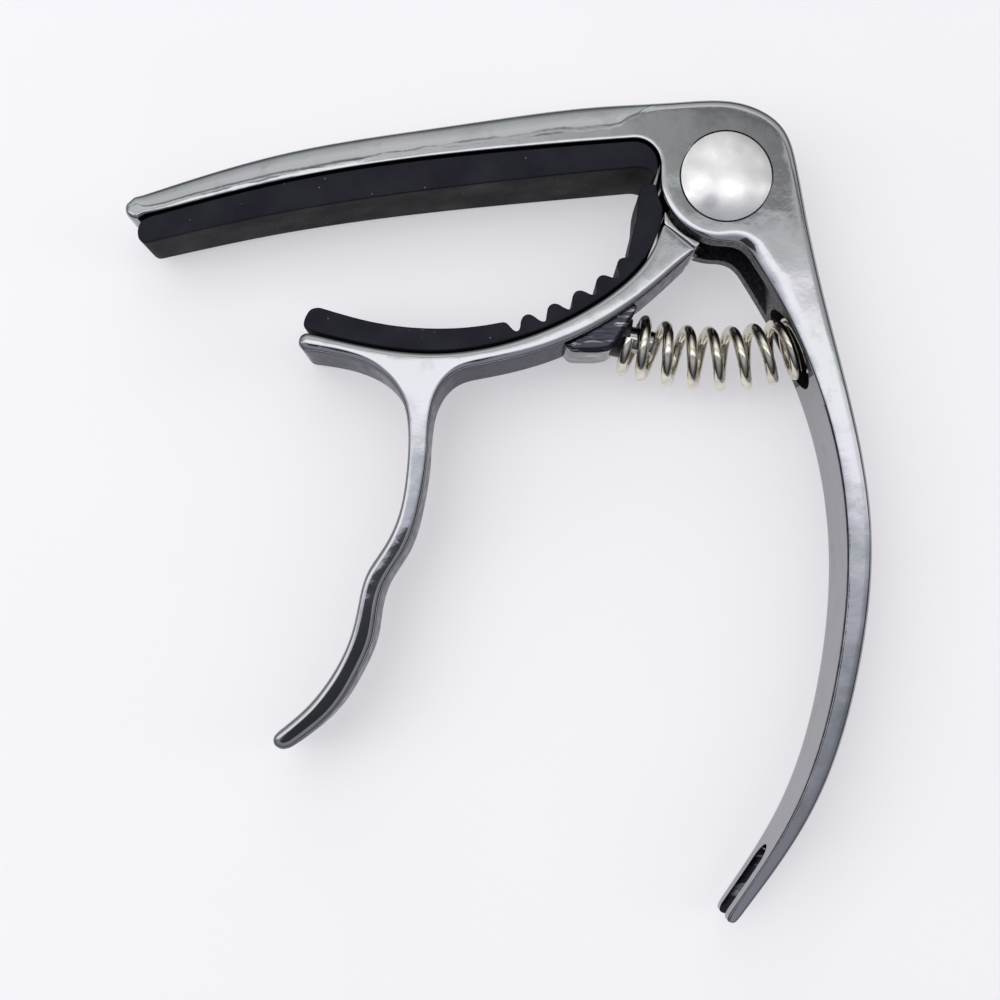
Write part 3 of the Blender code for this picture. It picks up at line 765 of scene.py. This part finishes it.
def black_chrome():
    """Mirror-bright dark plating over a hand-polished casting: slow waves, orange peel, faint clouding,
    painted shade along the arm's wrinkle.
    """
    n = Nodes("black_chrome", Metallic=1.0, Specular_Tint=(0.8, 0.8, 0.82, 1.0))
    blotches = n.noise(3.0, 4.0, 0.6)
    cool = n.blended(n.noise(9.0, 2.0), 0.35, 0.65, (0.335, 0.345, 0.345), (0.35, 0.347, 0.365))
    worn = n.mix(n.span(blotches, 0.54, 0.7, 0.0, 0.5), cool, (0.23, 0.245, 0.24))
    wrinkle = arm_wrinkle(n)
    # A darker band just above the arm's wavy wrinkle line: painted shade in the crease.
    crease_shade = n.between(wrinkle, 0.02, 0.1, 0.2, 0.34)
    patchy_crease_shade = n.times(crease_shade, n.span(blotches, 0.4, 0.55, 0.1, 0.9))
    crease_shaded = n.mix(patchy_crease_shade, worn, (0.13, 0.14, 0.135))
    hairlines = n.noise(0.35, 2.0, 0.6, n.stretched((1.0, 6.0, 1.0), 20.0))
    gloss = n.plus(n.span(blotches, 0.35, 0.75, 0.03, 0.08), n.span(hairlines, 0.6, 0.8, 0.0, 0.03))
    waves = n.bump(n.noise(7.0, 1.0), 0.10)
    fold = n.bump(n.between(wrinkle, -0.3, 0.1, 0.1, 2.5), 0.02, 1.0, waves)
    ripples = n.bump(n.noise(1.6, 2.0), 0.010, 1.0, fold)
    peel = n.bump(n.noise(0.25, 1.0), 0.0008, 1.0, ripples)
    return n.made(crease_shaded, gloss, peel)


def arm_wrinkle(n):
    """Millimetres above a wavy line that runs along the clamp arm; beyond the arm it leaves the metal."""
    parts = n.add("ShaderNodeSeparateXYZ")
    n.join(n.place, parts.inputs[0])
    x = n.times(n.less(parts.outputs["X"], PIVOT.x), 1 / MM)
    y = n.times(n.less(parts.outputs["Y"], PIVOT.y), 1 / MM)
    sag = n.times(n.times(x, x), -0.00228)
    wander = n.times(n.less(n.noise(7.0, 3.0, 0.6), 0.5), 1.5)
    rise = n.span(x, -12.0, -2.0, 6.13, 12.0)
    return n.less(y, n.plus(n.plus(sag, rise), wander))


def painted_wall_shade():
    """The jaw's side walls and the handle's inner edge: a darker, rougher copy of the plating, painted shade
    for walls that face the shadowed floor beside them.
    """
    n = Nodes("painted_wall_shade", Metallic=1.0, Specular_Tint=(0.42, 0.42, 0.45, 1.0))
    streaks = n.noise(1.2, 3.0, 0.6, n.stretched((1.0, 1.0, 0.3)))
    return n.made(
        n.blended(streaks, 0.35, 0.7, (0.075, 0.075, 0.085), (0.16, 0.16, 0.18)),
        n.span(streaks, 0.3, 0.7, 0.12, 0.28),
        n.bump(n.noise(1.5, 3.0), 0.02),
    )


def painted_streaks_and_shade():
    """The spring's lug and the inside of the pin slot: near-black with bright streaks across it, painted
    shade in the slot and painted reflection streaks on the lug.
    """
    n = Nodes("painted_streaks_and_shade", Metallic=1.0)
    reflection_streaks = n.noise(1.1, 3.0, 0.55, n.stretched((0.35, 2.2, 1.0), 35.0))
    return n.made(
        n.blended(reflection_streaks, 0.55, 0.64, (0.035, 0.035, 0.045), (0.3, 0.3, 0.32)),
        n.span(reflection_streaks, 0.4, 0.6, 0.16, 0.1),
        n.bump(reflection_streaks, 0.03),
    )


def painted_recess_shade():
    """Near-black, rough painted shade inside the fork and the spring's pocket, where little light gets in."""
    n = Nodes("painted_recess_shade", Metallic=0.35)
    grain = n.noise(0.5, 5.0, 0.65)
    return n.made(
        n.blended(grain, 0.45, 0.75, (0.010, 0.010, 0.013), (0.06, 0.06, 0.07)),
        n.span(grain, 0.3, 0.7, 0.55, 0.28),
        n.bump(n.noise(0.7, 5.0, 0.6), 0.12),
    )


def satin_nickel():
    """The cap: fine turning marks round its middle under a soft polish, with one darker patch towards the
    lower left.
    """
    n = Nodes("satin_nickel", Metallic=1.0)
    flat_place = n.vector("MULTIPLY", n.vector("SUBTRACT", n.place, PIVOT), (1.0, 1.0, 0.0))
    marks = n.add("ShaderNodeTexNoise", noise_dimensions="1D")
    n.fill(marks, W=n.vector("LENGTH", flat_place), Scale=9000.0, Detail=3.0)
    cloud = n.noise(2.6, 3.0)
    nickel = n.blended(cloud, 0.35, 0.7, (0.80, 0.79, 0.77), (0.68, 0.67, 0.66))
    # A darker patch towards the lower left of the cap, with a ragged rim.
    away = n.times(n.vector("DISTANCE", flat_place, Vector(CAP_DARK_PATCH) * MM), 1 / MM)
    reach = n.plus(away, n.span(cloud, 0.3, 0.7, -0.2, 0.2))
    dark_patched = n.mix(n.span(reach, 0.5, 1.2, 0.6, 0.0), nickel, (0.40, 0.40, 0.41))
    turned_marks = n.bump(marks.outputs["Fac"], 0.002, 0.6, n.bump(n.noise(3.0, 0.0), 0.03))
    return n.made(dark_patched, n.span(cloud, 0.3, 0.7, 0.24, 0.36), turned_marks)


def spring_nickel():
    """Bright nickel over drawn wire, a little yellow, with a fine grain and dull patches."""
    n = Nodes("spring_nickel", Metallic=1.0)
    patches = n.noise(1.8, 4.0, 0.6)
    return n.made(
        n.blended(patches, 0.42, 0.68, (0.80, 0.76, 0.66), (0.56, 0.52, 0.43)),
        n.span(patches, 0.35, 0.7, 0.10, 0.24),
        n.bump(n.noise(0.16, 2.0), 0.004, 1.0, n.bump(n.noise(1.2, 1.0), 0.02)),
    )


def steel(name, colour, roughness):
    """Plain machined steel, for the screw and the washers."""
    n = Nodes(name, Metallic=1.0)
    cloud = n.noise(1.5, 3.0)
    return n.made(
        n.blended(cloud, 0.35, 0.7, colour, tuple(0.78 * c for c in colour)),
        n.span(cloud, 0.3, 0.7, roughness, roughness + 0.14),
        n.bump(n.noise(0.12, 3.0), 0.004),
    )


def black_rubber():
    """Moulded silicone: a dull fine grain, faces greyed by handling in faint patches, side walls darker than
    the faces as painted shade, specks of dust.
    """
    n = Nodes("black_rubber", Metallic=0.0, Specular_IOR_Level=0.1, Sheen_Weight=0.02, Sheen_Roughness=0.5)
    rubbed = n.noise(5.0, 4.0, 0.6)
    base = n.blended(rubbed, 0.35, 0.7, (0.013, 0.0125, 0.019), (0.019, 0.0185, 0.026))
    # The side walls are darker than the faces by which way they face: painted shade.
    facing = n.add("ShaderNodeSeparateXYZ")
    n.join(n.add("ShaderNodeNewGeometry").outputs["Normal"], facing.inputs[0])
    facing_up = n.math("ABSOLUTE", facing.outputs["Z"])
    shade = n.blended(facing_up, 0.3, 0.9, (0.004, 0.004, 0.005), base)
    dust = n.mix(n.spots(1.5, 0.075), shade, (0.16, 0.16, 0.17))
    return n.made(dust, n.span(rubbed, 0.3, 0.7, 0.72, 0.52), n.bump(n.noise(0.18, 3.0, 0.6), 0.02, 0.8))


def glowing_floor_paper():
    """A smooth white board that glows faintly by itself, painted light that keeps the shadows on it faint."""
    n = Nodes("glowing_floor_paper", Emission_Color=(0.975, 0.955, 1.0, 1.0), Emission_Strength=0.43)
    soft = n.noise(40.0, 2.0)
    return n.made(
        n.blended(soft, 0.3, 0.7, (0.52, 0.515, 0.52), (0.535, 0.53, 0.535)),
        n.span(soft, 0.3, 0.7, 0.75, 0.85),
        n.bump(n.noise(0.6, 3.0), 0.01, 0.3),
    )


# ---- pieces


def stand_in(obj, node, body):
    """Puts the mesh in the place of that CAD node."""
    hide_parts(node)
    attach(obj, body)


def wear(obj, *materials):
    obj.data.materials.clear()
    for material in materials:
        obj.data.materials.append(material)
    return obj


def cylinder(name, radius, low, high, material, segments=96):
    return wear(turned(name, [(0.0, high), (radius, high), (radius, low), (0.0, low)], segments), material)


def pin_puller(material):
    """The slot that forks the end of the handle, right through from outside to inside."""
    outline = [tuple(p) for p in arc((0.0, 0.0), PULLER_HALF, 90.0, 270.0)]
    outline += [(PULLER_REACH, -PULLER_HALF), (PULLER_REACH, PULLER_HALF)]
    slot = wear(prism("pin_puller_slot", outline, PULLER_CUT_HALF), material)
    end = np.array(PULLER_END) + on_circle(PULLER_HALF, PULLER_DIRECTION_DEG)
    return lie_along(slot, end, PULLER_DIRECTION_DEG, "X")


def arm_outline():
    top = smooth_run(ARM_TOP_EDGE)
    on_arm = top[:, 0] < -11.0
    over_boss = ~on_arm & (top[:, 1] > -3.0)
    down_handle = ~on_arm & ~over_boss
    upper_handle = down_handle & (top[:, 1] > -40.0)
    inner = smooth_run(HANDLE_INNER_EDGE)
    in_throat = inner[:, 1] > -24.0
    return Outline(
        (top[on_arm], ARM_TOP_SHAPE),
        (top[over_boss], SHOULDER_SHAPE),
        (top[upper_handle], HANDLE_OUTER_SHAPE, HANDLE_OUTER_LOW_SHAPE),
        (top[down_handle & ~upper_handle], HANDLE_OUTER_LOW_SHAPE),
        (HANDLE_TIP, TIP_SHAPE),
        (inner[~in_throat], HANDLE_INNER_SHAPE),
        (inner[in_throat], HANDLE_INNER_SHAPE, HANDLE_THROAT_SHAPE),
        (THROAT_CORNER, HANDLE_THROAT_SHAPE),
        (arc((0.0, 0.0), BOSS_RADIUS, 271.0, 183.0), BOSS_SHAPE),
        (arc(FILLET_CENTRE, FILLET_RADIUS, 2.0, 86.0), ARM_LOWER_SHAPE),
        (smooth_run(ARM_LOWER_EDGE)[1:], ARM_LOWER_SHAPE),
        (ARM_TIP, TIP_SHAPE),
    )


def shade_throat_wall(arm):
    """Gives the wall between the boss and the spring's pocket the near-black painted shade of the recesses.
    """
    for face in arm.data.polygons:
        x, y, _ = (face.center - PIVOT) / MM
        facing = face.normal.x < -0.3 or face.normal.y < -0.3
        inside = THROAT_LOW_Y < y < THROAT_TOP_Y and THROAT_LEFT_X < x < THROAT_RIGHT_X
        if facing and inside and abs(face.normal.z) < 0.35:
            face.material_index = 1


def darken_inner_edge(arm):
    """Gives the narrow round along the inside of the handle the darker copy of the plating, painted shade."""
    for face in arm.data.polygons:
        low_down = face.center.y < PIVOT.y + INNER_EDGE_TOP_Y * MM
        if low_down and face.normal.x < -0.25 and 0.2 < abs(face.normal.z) < 0.93:
            face.material_index = 2


def build_arm_and_handle(chrome, recess_shade, dull, streaks_and_shade):
    arm = wear(plate_mesh("arm_and_handle_casting", arm_outline(), arm_half_depth), chrome, recess_shade, dull)
    shade_throat_wall(arm)
    darken_inner_edge(arm)
    pocket = cylinder("pocket", POCKET_RADIUS, -POCKET_REACH, 0.0, recess_shade, 64)
    # The fork's slot and the spring's pocket are cut with the near-black painted shade on their faces.
    cuts = [
        cylinder("slot_disc", SLOT_RADIUS, -SLOT_HALF, SLOT_HALF, recess_shade),
        wear(prism("slot_mouth", SLOT_MOUTH, SLOT_HALF), recess_shade),
        cylinder("arm_bore", BORE_RADIUS, -CUTTER_END, CUTTER_END, chrome),
        cylinder("cap_seat", CAP_SEAT_RADIUS, ARM_HALF - CAP_SEAT_DEPTH, CUTTER_END, chrome),
        cylinder("screw_seat", SCREW_SEAT_RADIUS, -CUTTER_END, -ARM_HALF + SCREW_SEAT_DEPTH, chrome),
        lie_along(pocket, POCKET_FLOOR, POCKET_DIRECTION_DEG),
        pin_puller(streaks_and_shade),
    ]
    combine(arm, cuts, "DIFFERENCE")
    finish_edges(arm)
    stand_in(arm, "arm_and_handle", "arm")


def jaw_outline():
    upper = smooth_run(JAW_UPPER_EDGE)
    lower = smooth_run(JAW_LOWER_EDGE)
    on_jaw = lower[:, 1] > -22.0
    outer = smooth_run(TRIGGER_OUTER_EDGE)
    under_tip = outer[:, 1] > -22.5
    return Outline(
        (upper, JAW_UPPER_SHAPE),
        (np.linspace(upper[-1], lower[0], 10)[1:-1], JAW_END_SHAPE),
        (lower[on_jaw], JAW_LOWER_SHAPE),
        (lower[~on_jaw], TRIGGER_SHAPE, TRIGGER_LOW_SHAPE),
        (TRIGGER_TIP, TRIGGER_LOW_SHAPE),
        (outer[~under_tip], TRIGGER_LOW_SHAPE, TRIGGER_SHAPE),
        (outer[under_tip], JAW_LOWER_SHAPE),
        (JAW_TIP, JAW_TIP_SHAPE),
    )


def spring_lug(streaks_and_shade):
    outline = Outline((SPRING_LUG, LUG_SHAPE))
    return wear(plate_mesh("spring_lug", outline, flat(LUG_HALF)), streaks_and_shade)


def shade_side_walls(jaw):
    # The jaw's side walls take the darker copy of the plating: painted shade.
    for face in jaw.data.polygons:
        if abs(face.normal.z) < 0.5:
            face.material_index = 1


def tongue_ledge(chrome):
    """The step between the jaw's end and the boss."""
    outline = Outline(
        (arc((0.0, 0.0), LEDGE_RADIUS, 208.0, 249.0), JAW_END_SHAPE),
        (LEDGE_BACK, JAW_END_SHAPE),
    )
    return wear(plate_mesh("tongue_ledge", outline, flat(LEDGE_HALF)), chrome)


def on_lug(name, radius, length, ease, segments, material):
    """A round post that stands on the lug, with its root sunk into it."""
    profile = [(0.0, length), (radius, length), (radius, -JAW_PEG_ROOT), (0.0, -JAW_PEG_ROOT)]
    post = wear(turned(name, rounded(profile, ease), segments), material)
    return lie_along(post, JAW_PEG_BASE, JAW_PEG_DIRECTION_DEG)


def build_jaw_and_trigger(chrome, recess_shade, dull, streaks_and_shade):
    jaw = wear(plate_mesh("jaw_and_trigger_casting", jaw_outline(), jaw_half_depth), chrome, dull)
    shade_side_walls(jaw)
    solids = [
        cylinder("tongue_disc", TONGUE_RADIUS, -TONGUE_HALF, TONGUE_HALF, chrome),
        wear(prism("tongue_neck", TONGUE_NECK, TONGUE_HALF), chrome),
        tongue_ledge(chrome),
        spring_lug(streaks_and_shade),
        # A near-black disc round the peg's root, painted shade beside the lug.
        on_lug("painted_shade_disc", SHADE_DISC_RADIUS, SHADE_DISC_LENGTH, 0.2, 64, recess_shade),
        on_lug("jaw_peg", JAW_PEG_RADIUS, JAW_PEG_LENGTH, 0.4, 48, chrome),
    ]
    combine(jaw, solids, "UNION")
    combine(jaw, [cylinder("jaw_bore", BORE_RADIUS, -CUTTER_END, CUTTER_END, chrome)], "DIFFERENCE")
    finish_edges(jaw)
    stand_in(jaw, "jaw_and_trigger", "jaw")


def build_pad(node, runs, half_depth, body, rubber):
    """A rubber pad whose outline is those runs, one after another."""
    outline = Outline(*((run, RUBBER_SHAPE) for run in runs))
    pad = wear(plate_mesh(node + "_rubber", outline, half_depth), rubber)
    finish_edges(pad, 40)
    stand_in(pad, node, body)


def string_pad_runs():
    return [
        smooth_run(STRING_PAD_LOWER_EDGE),
        STRING_PAD_HEEL,
        arc(FILLET_CENTRE, FILLET_RADIUS - PAD_GAP, 8.0, 80.0),
        offset_run(smooth_run(ARM_LOWER_EDGE), PAD_GAP)[:-1],
        STRING_PAD_TIP[::-1],
    ]


def neck_pad_runs():
    edge = smooth_run(JAW_UPPER_EDGE)
    teeth = []
    for tooth in reversed(range(TOOTH_COUNT)):
        for along, height in reversed(TOOTH_PROFILE):
            teeth.append(at_distance(edge, TOOTH_START + tooth * TOOTH_PITCH + along, height))
    return [
        offset_run(edge, PAD_GAP),
        arc((0.0, 0.0), NECK_PAD_INNER_RADIUS, 206.0, 185.5),
        NECK_PAD_HEEL[::-1],
        smooth_run(teeth),
        smooth_run(NECK_PAD_FACE)[::-1],
        NECK_PAD_TIP[::-1],
    ]


def build_pivot_barrel(nickel):
    under = ARM_HALF - CAP_SEAT_DEPTH + TOUCH_GAP
    rim = ARM_HALF - CAP_EDGE
    sleeve_end = -ARM_HALF + SCREW_SEAT_DEPTH + SLEEVE_END_GAP
    dome_radius = (CAP_RADIUS ** 2 + CAP_RISE ** 2) / (2 * CAP_RISE)
    dome = []
    for radius in np.linspace(0.0, CAP_RADIUS - 0.12, 24):
        fall = dome_radius - sqrt(dome_radius ** 2 - radius ** 2)
        dome.append((radius, rim + CAP_EDGE + CAP_RISE - fall))
    profile = dome + [(CAP_RADIUS - 0.03, rim + 0.12), (CAP_RADIUS, rim - 0.05), (CAP_RADIUS, under)]
    profile += [(SLEEVE_RADIUS, under), (SLEEVE_RADIUS, sleeve_end), (THREAD_BORE_RADIUS, sleeve_end)]
    profile += [(THREAD_BORE_RADIUS, THREAD_BORE_TOP), (0.0, THREAD_BORE_TOP)]
    barrel = wear(turned("pivot_barrel_cap", profile), nickel)
    finish_edges(barrel)
    stand_in(barrel, "pivot_barrel", "arm")


def build_pivot_screw(metal):
    back = -ARM_HALF + SCREW_HEAD_DEPTH
    under = -ARM_HALF + SCREW_SEAT_DEPTH - TOUCH_GAP
    corners = [(0.0, SCREW_TOP), (SCREW_RADIUS - SCREW_CHAMFER, SCREW_TOP)]
    corners += [(SCREW_RADIUS, SCREW_TOP - SCREW_CHAMFER), (SCREW_RADIUS, under)]
    corners += [(SCREW_HEAD_RADIUS, under), (SCREW_HEAD_RADIUS, back), (0.0, back)]
    screw = wear(turned("pivot_screw_head", rounded(corners, 0.3)), metal)
    hex_radius = HEX_ACROSS_FLATS / 2 / cos(radians(30))
    socket = cylinder("hex_socket", hex_radius, back - 1.0, back + HEX_DEPTH, metal, segments=6)
    combine(screw, [socket], "DIFFERENCE")
    finish_edges(screw)
    stand_in(screw, "pivot_screw", "arm")


def build_washer(node, middle, metal):
    low = middle - WASHER_HALF
    high = middle + WASHER_HALF
    edge = 0.06
    profile = [(BORE_RADIUS, high - edge), (BORE_RADIUS + edge, high), (WASHER_RADIUS - edge, high)]
    profile += [(WASHER_RADIUS, high - edge), (WASHER_RADIUS, low + edge), (WASHER_RADIUS - edge, low)]
    profile += [(BORE_RADIUS + edge, low), (BORE_RADIUS, low + edge)]
    washer = wear(turned(node + "_ring", profile, ring=True), metal)
    finish_edges(washer)
    stand_in(washer, node, "arm")


def spring_angle(turn):
    """How far round its bend the wire has got after so many turns: closed coils at both ends."""
    turns = np.cumsum([0.0, *SPRING_TURNS])
    degrees = np.cumsum([0.0, *np.multiply(SPRING_TURNS, SPRING_DEGREES_PER_TURN)])
    return float(np.interp(turn, turns, SPRING_START + degrees))


def beside_spring(turn, out=0.0, up=0.0):
    """The coil's middle after so many turns, or a point out from its bend and up, in the outlines' frame."""
    x, y = on_circle(SPRING_BEND_RADIUS + out, spring_angle(turn))
    return Vector((x + SPRING_BEND_CENTRE[0], y + SPRING_BEND_CENTRE[1], up))


def spring_point(turn):
    """The middle of the wire after so many turns."""
    around = radians(360 * turn)
    return beside_spring(turn, SPRING_COIL_RADIUS * sin(around), SPRING_COIL_RADIUS * cos(around))


def build_spring(nickel):
    """The compression spring: round wire swept along a coil whose centre line is a gentle arc."""
    turns = sum(SPRING_TURNS)
    steps = round(turns * 56)
    sides = 18
    line = [spring_point(turns * i / steps) for i in range(steps + 1)]
    verts = []
    for i, point in enumerate(line):
        along = (line[min(i + 1, steps)] - line[max(i - 1, 0)]).normalized()
        out = point - beside_spring(turns * i / steps)
        out = (out - along * out.dot(along)).normalized()
        side = along.cross(out)
        for k in range(sides):
            turn = 2 * pi * k / sides
            verts.append(point + (out * cos(turn) + side * sin(turn)) * SPRING_WIRE_RADIUS)
    faces = []
    for i in range(steps):
        faces += band(i * sides, (i + 1) * sides, sides)
    faces.append(tuple(range(sides))[::-1])
    faces.append(tuple(range(steps * sides, (steps + 1) * sides)))
    spring = wear(add_mesh("spring_coil", verts, faces), nickel)
    finish_edges(spring, 50)
    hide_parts("spring")
    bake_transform(spring)


# ---- stage


def build_floor(paper):
    bpy.ops.mesh.primitive_plane_add(size=FLOOR_SIZE, location=(0.0, 0.0, -0.0001))
    floor = bpy.context.object
    floor.name = "floor"
    floor.data.materials.append(paper)


def area_light(name, place, target, size, power):
    light = bpy.data.lights.new(name, "AREA")
    light.shape = "RECTANGLE"
    light.size, light.size_y = size
    light.energy = power
    obj = add_object(name, light)
    obj.location = place
    obj.rotation_euler = (Vector(target) - Vector(place)).to_track_quat("-Z", "Y").to_euler()
    obj.visible_glossy = False


# Brightness of the room overhead, by the angle in degrees of a direction from straight up: first as it leans
# towards the far side (+y), then a factor as it leans to the right (+x).
SKY_BY_TILT = [
    (-90, 0.12), (-75, 0.15), (-60, 0.2), (-45, 0.3), (-30, 0.45), (-20, 0.52), (-7.6, 0.52), (-4, 0.68),
    (-2.5, 0.88), (0, 1.2), (1.8, 1.5), (3, 2.0), (5, 2.35), (9.8, 2.3), (10.6, 2.0), (11.6, 1.5),
    (13, 1.25), (14.2, 1.15), (15.2, 1.15), (19, 1.15), (20, 0.92), (20.8, 0.42), (22.3, 0.42), (24.5, 1.3),
    (34, 1.35), (48, 0.75), (60, 0.3), (75, 0.1), (90, 0.06),
]
SKY_BY_LEAN = [
    (-90, 0.05), (-75, 0.12), (-50, 0.45), (-30, 0.85), (-14, 1.0), (14, 1.0), (22, 0.74), (35, 0.68),
    (60, 0.25), (90, 0.05),
]
LOW_LEFT_GLOW = 0.3

# Patches of the room, as the four angles between which each fades in and out.
CAMERA_LEANS = (-12, -10, 2, 4)
CAMERA_TILTS = (-16, -15, -1.8, -0.6)
CAMERA_SHADE = 0.86
FAR_BAND_TILTS = (14.2, 15.6, 19, 21)
GLOW_LEANS = (-75, -55, -25, -15)

SKY_TOP = 2.5
DIM_NEAR_TINT = (0.82, 0.86, 1.0)
DIM_FAR_TINT = (0.96, 1.0, 0.99)
BRIGHT_TINT = (0.975, 0.97, 1.0)


def tinted(degrees, bright):
    """The colour of that brightness: the dim parts of the room are bluer on the near side."""
    share = min(1.0, bright / SKY_TOP)
    dim_tint = DIM_NEAR_TINT if degrees < 6 else DIM_FAR_TINT
    colour = [dim * (1 - share) + pale * share for dim, pale in zip(dim_tint, BRIGHT_TINT)]
    luminance = 0.21 * colour[0] + 0.72 * colour[1] + 0.07 * colour[2]
    return tuple(c * bright / luminance for c in colour)


def sky_ramp(t, angle, stops, top, colour):
    """A colour ramp over -90..90 degrees, its brightness divided by top."""
    ramp = t.add("ShaderNodeValToRGB")
    marks = ramp.color_ramp.elements
    marks.remove(marks[-1])
    for i, (degrees, bright) in enumerate(stops):
        mark = marks[0] if i == 0 else marks.new((degrees + 90) / 180)
        mark.position = (degrees + 90) / 180
        mark.color = (*(c / top for c in colour(degrees, bright)), 1.0)
    t.fill(ramp, Fac=t.span(angle, -90, 90, 0.0, 1.0))
    return ramp.outputs["Color"]


def grey(degrees, bright):
    return (bright, bright, bright)


def build_world():
    """A pale room, brightest overhead, with the dark shape of a camera and a dimmer patch beyond it."""
    world = bpy.data.worlds.new("studio")
    world.use_nodes = True
    bpy.context.scene.world = world
    t = Tree(world.node_tree)
    direction = t.add("ShaderNodeSeparateXYZ")
    t.join(t.add("ShaderNodeTexCoord").outputs["Generated"], direction.inputs[0])
    x, y, z = direction.outputs
    up = t.math("MAXIMUM", z, 0.0001)
    tilt = t.times(t.math("ARCTAN2", y, up), 180 / pi)
    lean = t.times(t.math("ARCTAN2", x, up), 180 / pi)
    slant = t.span(lean, 2.0, 11.5, 0.0, 1.0)
    by_tilt = sky_ramp(t, t.plus(tilt, slant), SKY_BY_TILT, SKY_TOP, tinted)
    by_lean = sky_ramp(t, lean, SKY_BY_LEAN, 1.0, grey)
    camera_shape = t.times(t.between(lean, *CAMERA_LEANS), t.between(tilt, *CAMERA_TILTS))
    clear = t.less(1.0, t.times(camera_shape, CAMERA_SHADE))
    far = t.between(tilt, *FAR_BAND_TILTS)
    dim = t.times(t.span(lean, -10, 10.8, -0.2, 0.6), t.span(lean, 11.5, 14, 1.0, 0.0))
    clear = t.less(clear, t.times(far, dim))
    glow = t.times(t.between(lean, *GLOW_LEANS), t.span(tilt, -7.0, -2.0, LOW_LEFT_GLOW, 0.0))
    bright = t.plus(t.times(by_lean, SKY_TOP), glow)
    t.fill(t.tree.nodes["Background"], Color=by_tilt, Strength=t.times(bright, clear))


def build_lights():
    """Broad low panels that only soften the shadows on the floor; the metal reflects the room."""
    middle = (PIVOT.x - 0.02, PIVOT.y - 0.03, 0.0)
    panels = [
        ("overhead", (-0.25, 0.05, 0.45), (0.5, 0.4), 0.8),
        ("left", (-0.65, -0.05, 0.28), (0.3, 0.6), 0.8),
        ("far", (0.0, 0.65, 0.28), (0.6, 0.3), 0.8),
        ("right", (0.65, 0.0, 0.28), (0.3, 0.6), 0.6),
        ("near", (0.0, -0.7, 0.28), (0.6, 0.3), 0.25),
    ]
    for name, place, size, power in panels:
        area_light(name, place, middle, size, power)


def build_camera():
    camera = bpy.data.cameras.new("camera")
    camera.lens = CAMERA_LENS
    camera.sensor_width = 36.0
    camera.clip_start = 0.005
    obj = add_object("camera", camera)
    obj.location = PIVOT + Vector(CAMERA_PLACE) * MM
    obj.rotation_euler = (radians(CAMERA_TILT_DEG), 0.0, 0.0)
    bpy.context.scene.camera = obj


def main():
    build_camera()
    casting_finishes_and_shades = black_chrome(), painted_recess_shade(), painted_wall_shade(), painted_streaks_and_shade()
    build_arm_and_handle(*casting_finishes_and_shades)
    build_jaw_and_trigger(*casting_finishes_and_shades)
    rubber = black_rubber()
    build_pad("string_pad", string_pad_runs(), string_pad_half_depth, "arm", rubber)
    build_pad("neck_pad", neck_pad_runs(), flat(NECK_PAD_HALF), "jaw", rubber)
    build_pivot_barrel(satin_nickel())
    build_pivot_screw(steel("screw_steel", (0.55, 0.54, 0.52), 0.22))
    washer_steel = steel("washer_steel", (0.42, 0.42, 0.43), 0.3)
    washer_middle = (SLOT_HALF + TONGUE_HALF) / 2
    build_washer("washer_front", washer_middle, washer_steel)
    build_washer("washer_back", -washer_middle, washer_steel)
    build_spring(spring_nickel())
    build_floor(glowing_floor_paper())
    build_world()
    build_lights()
    bpy.context.scene.view_settings.view_transform = "Standard"


main()
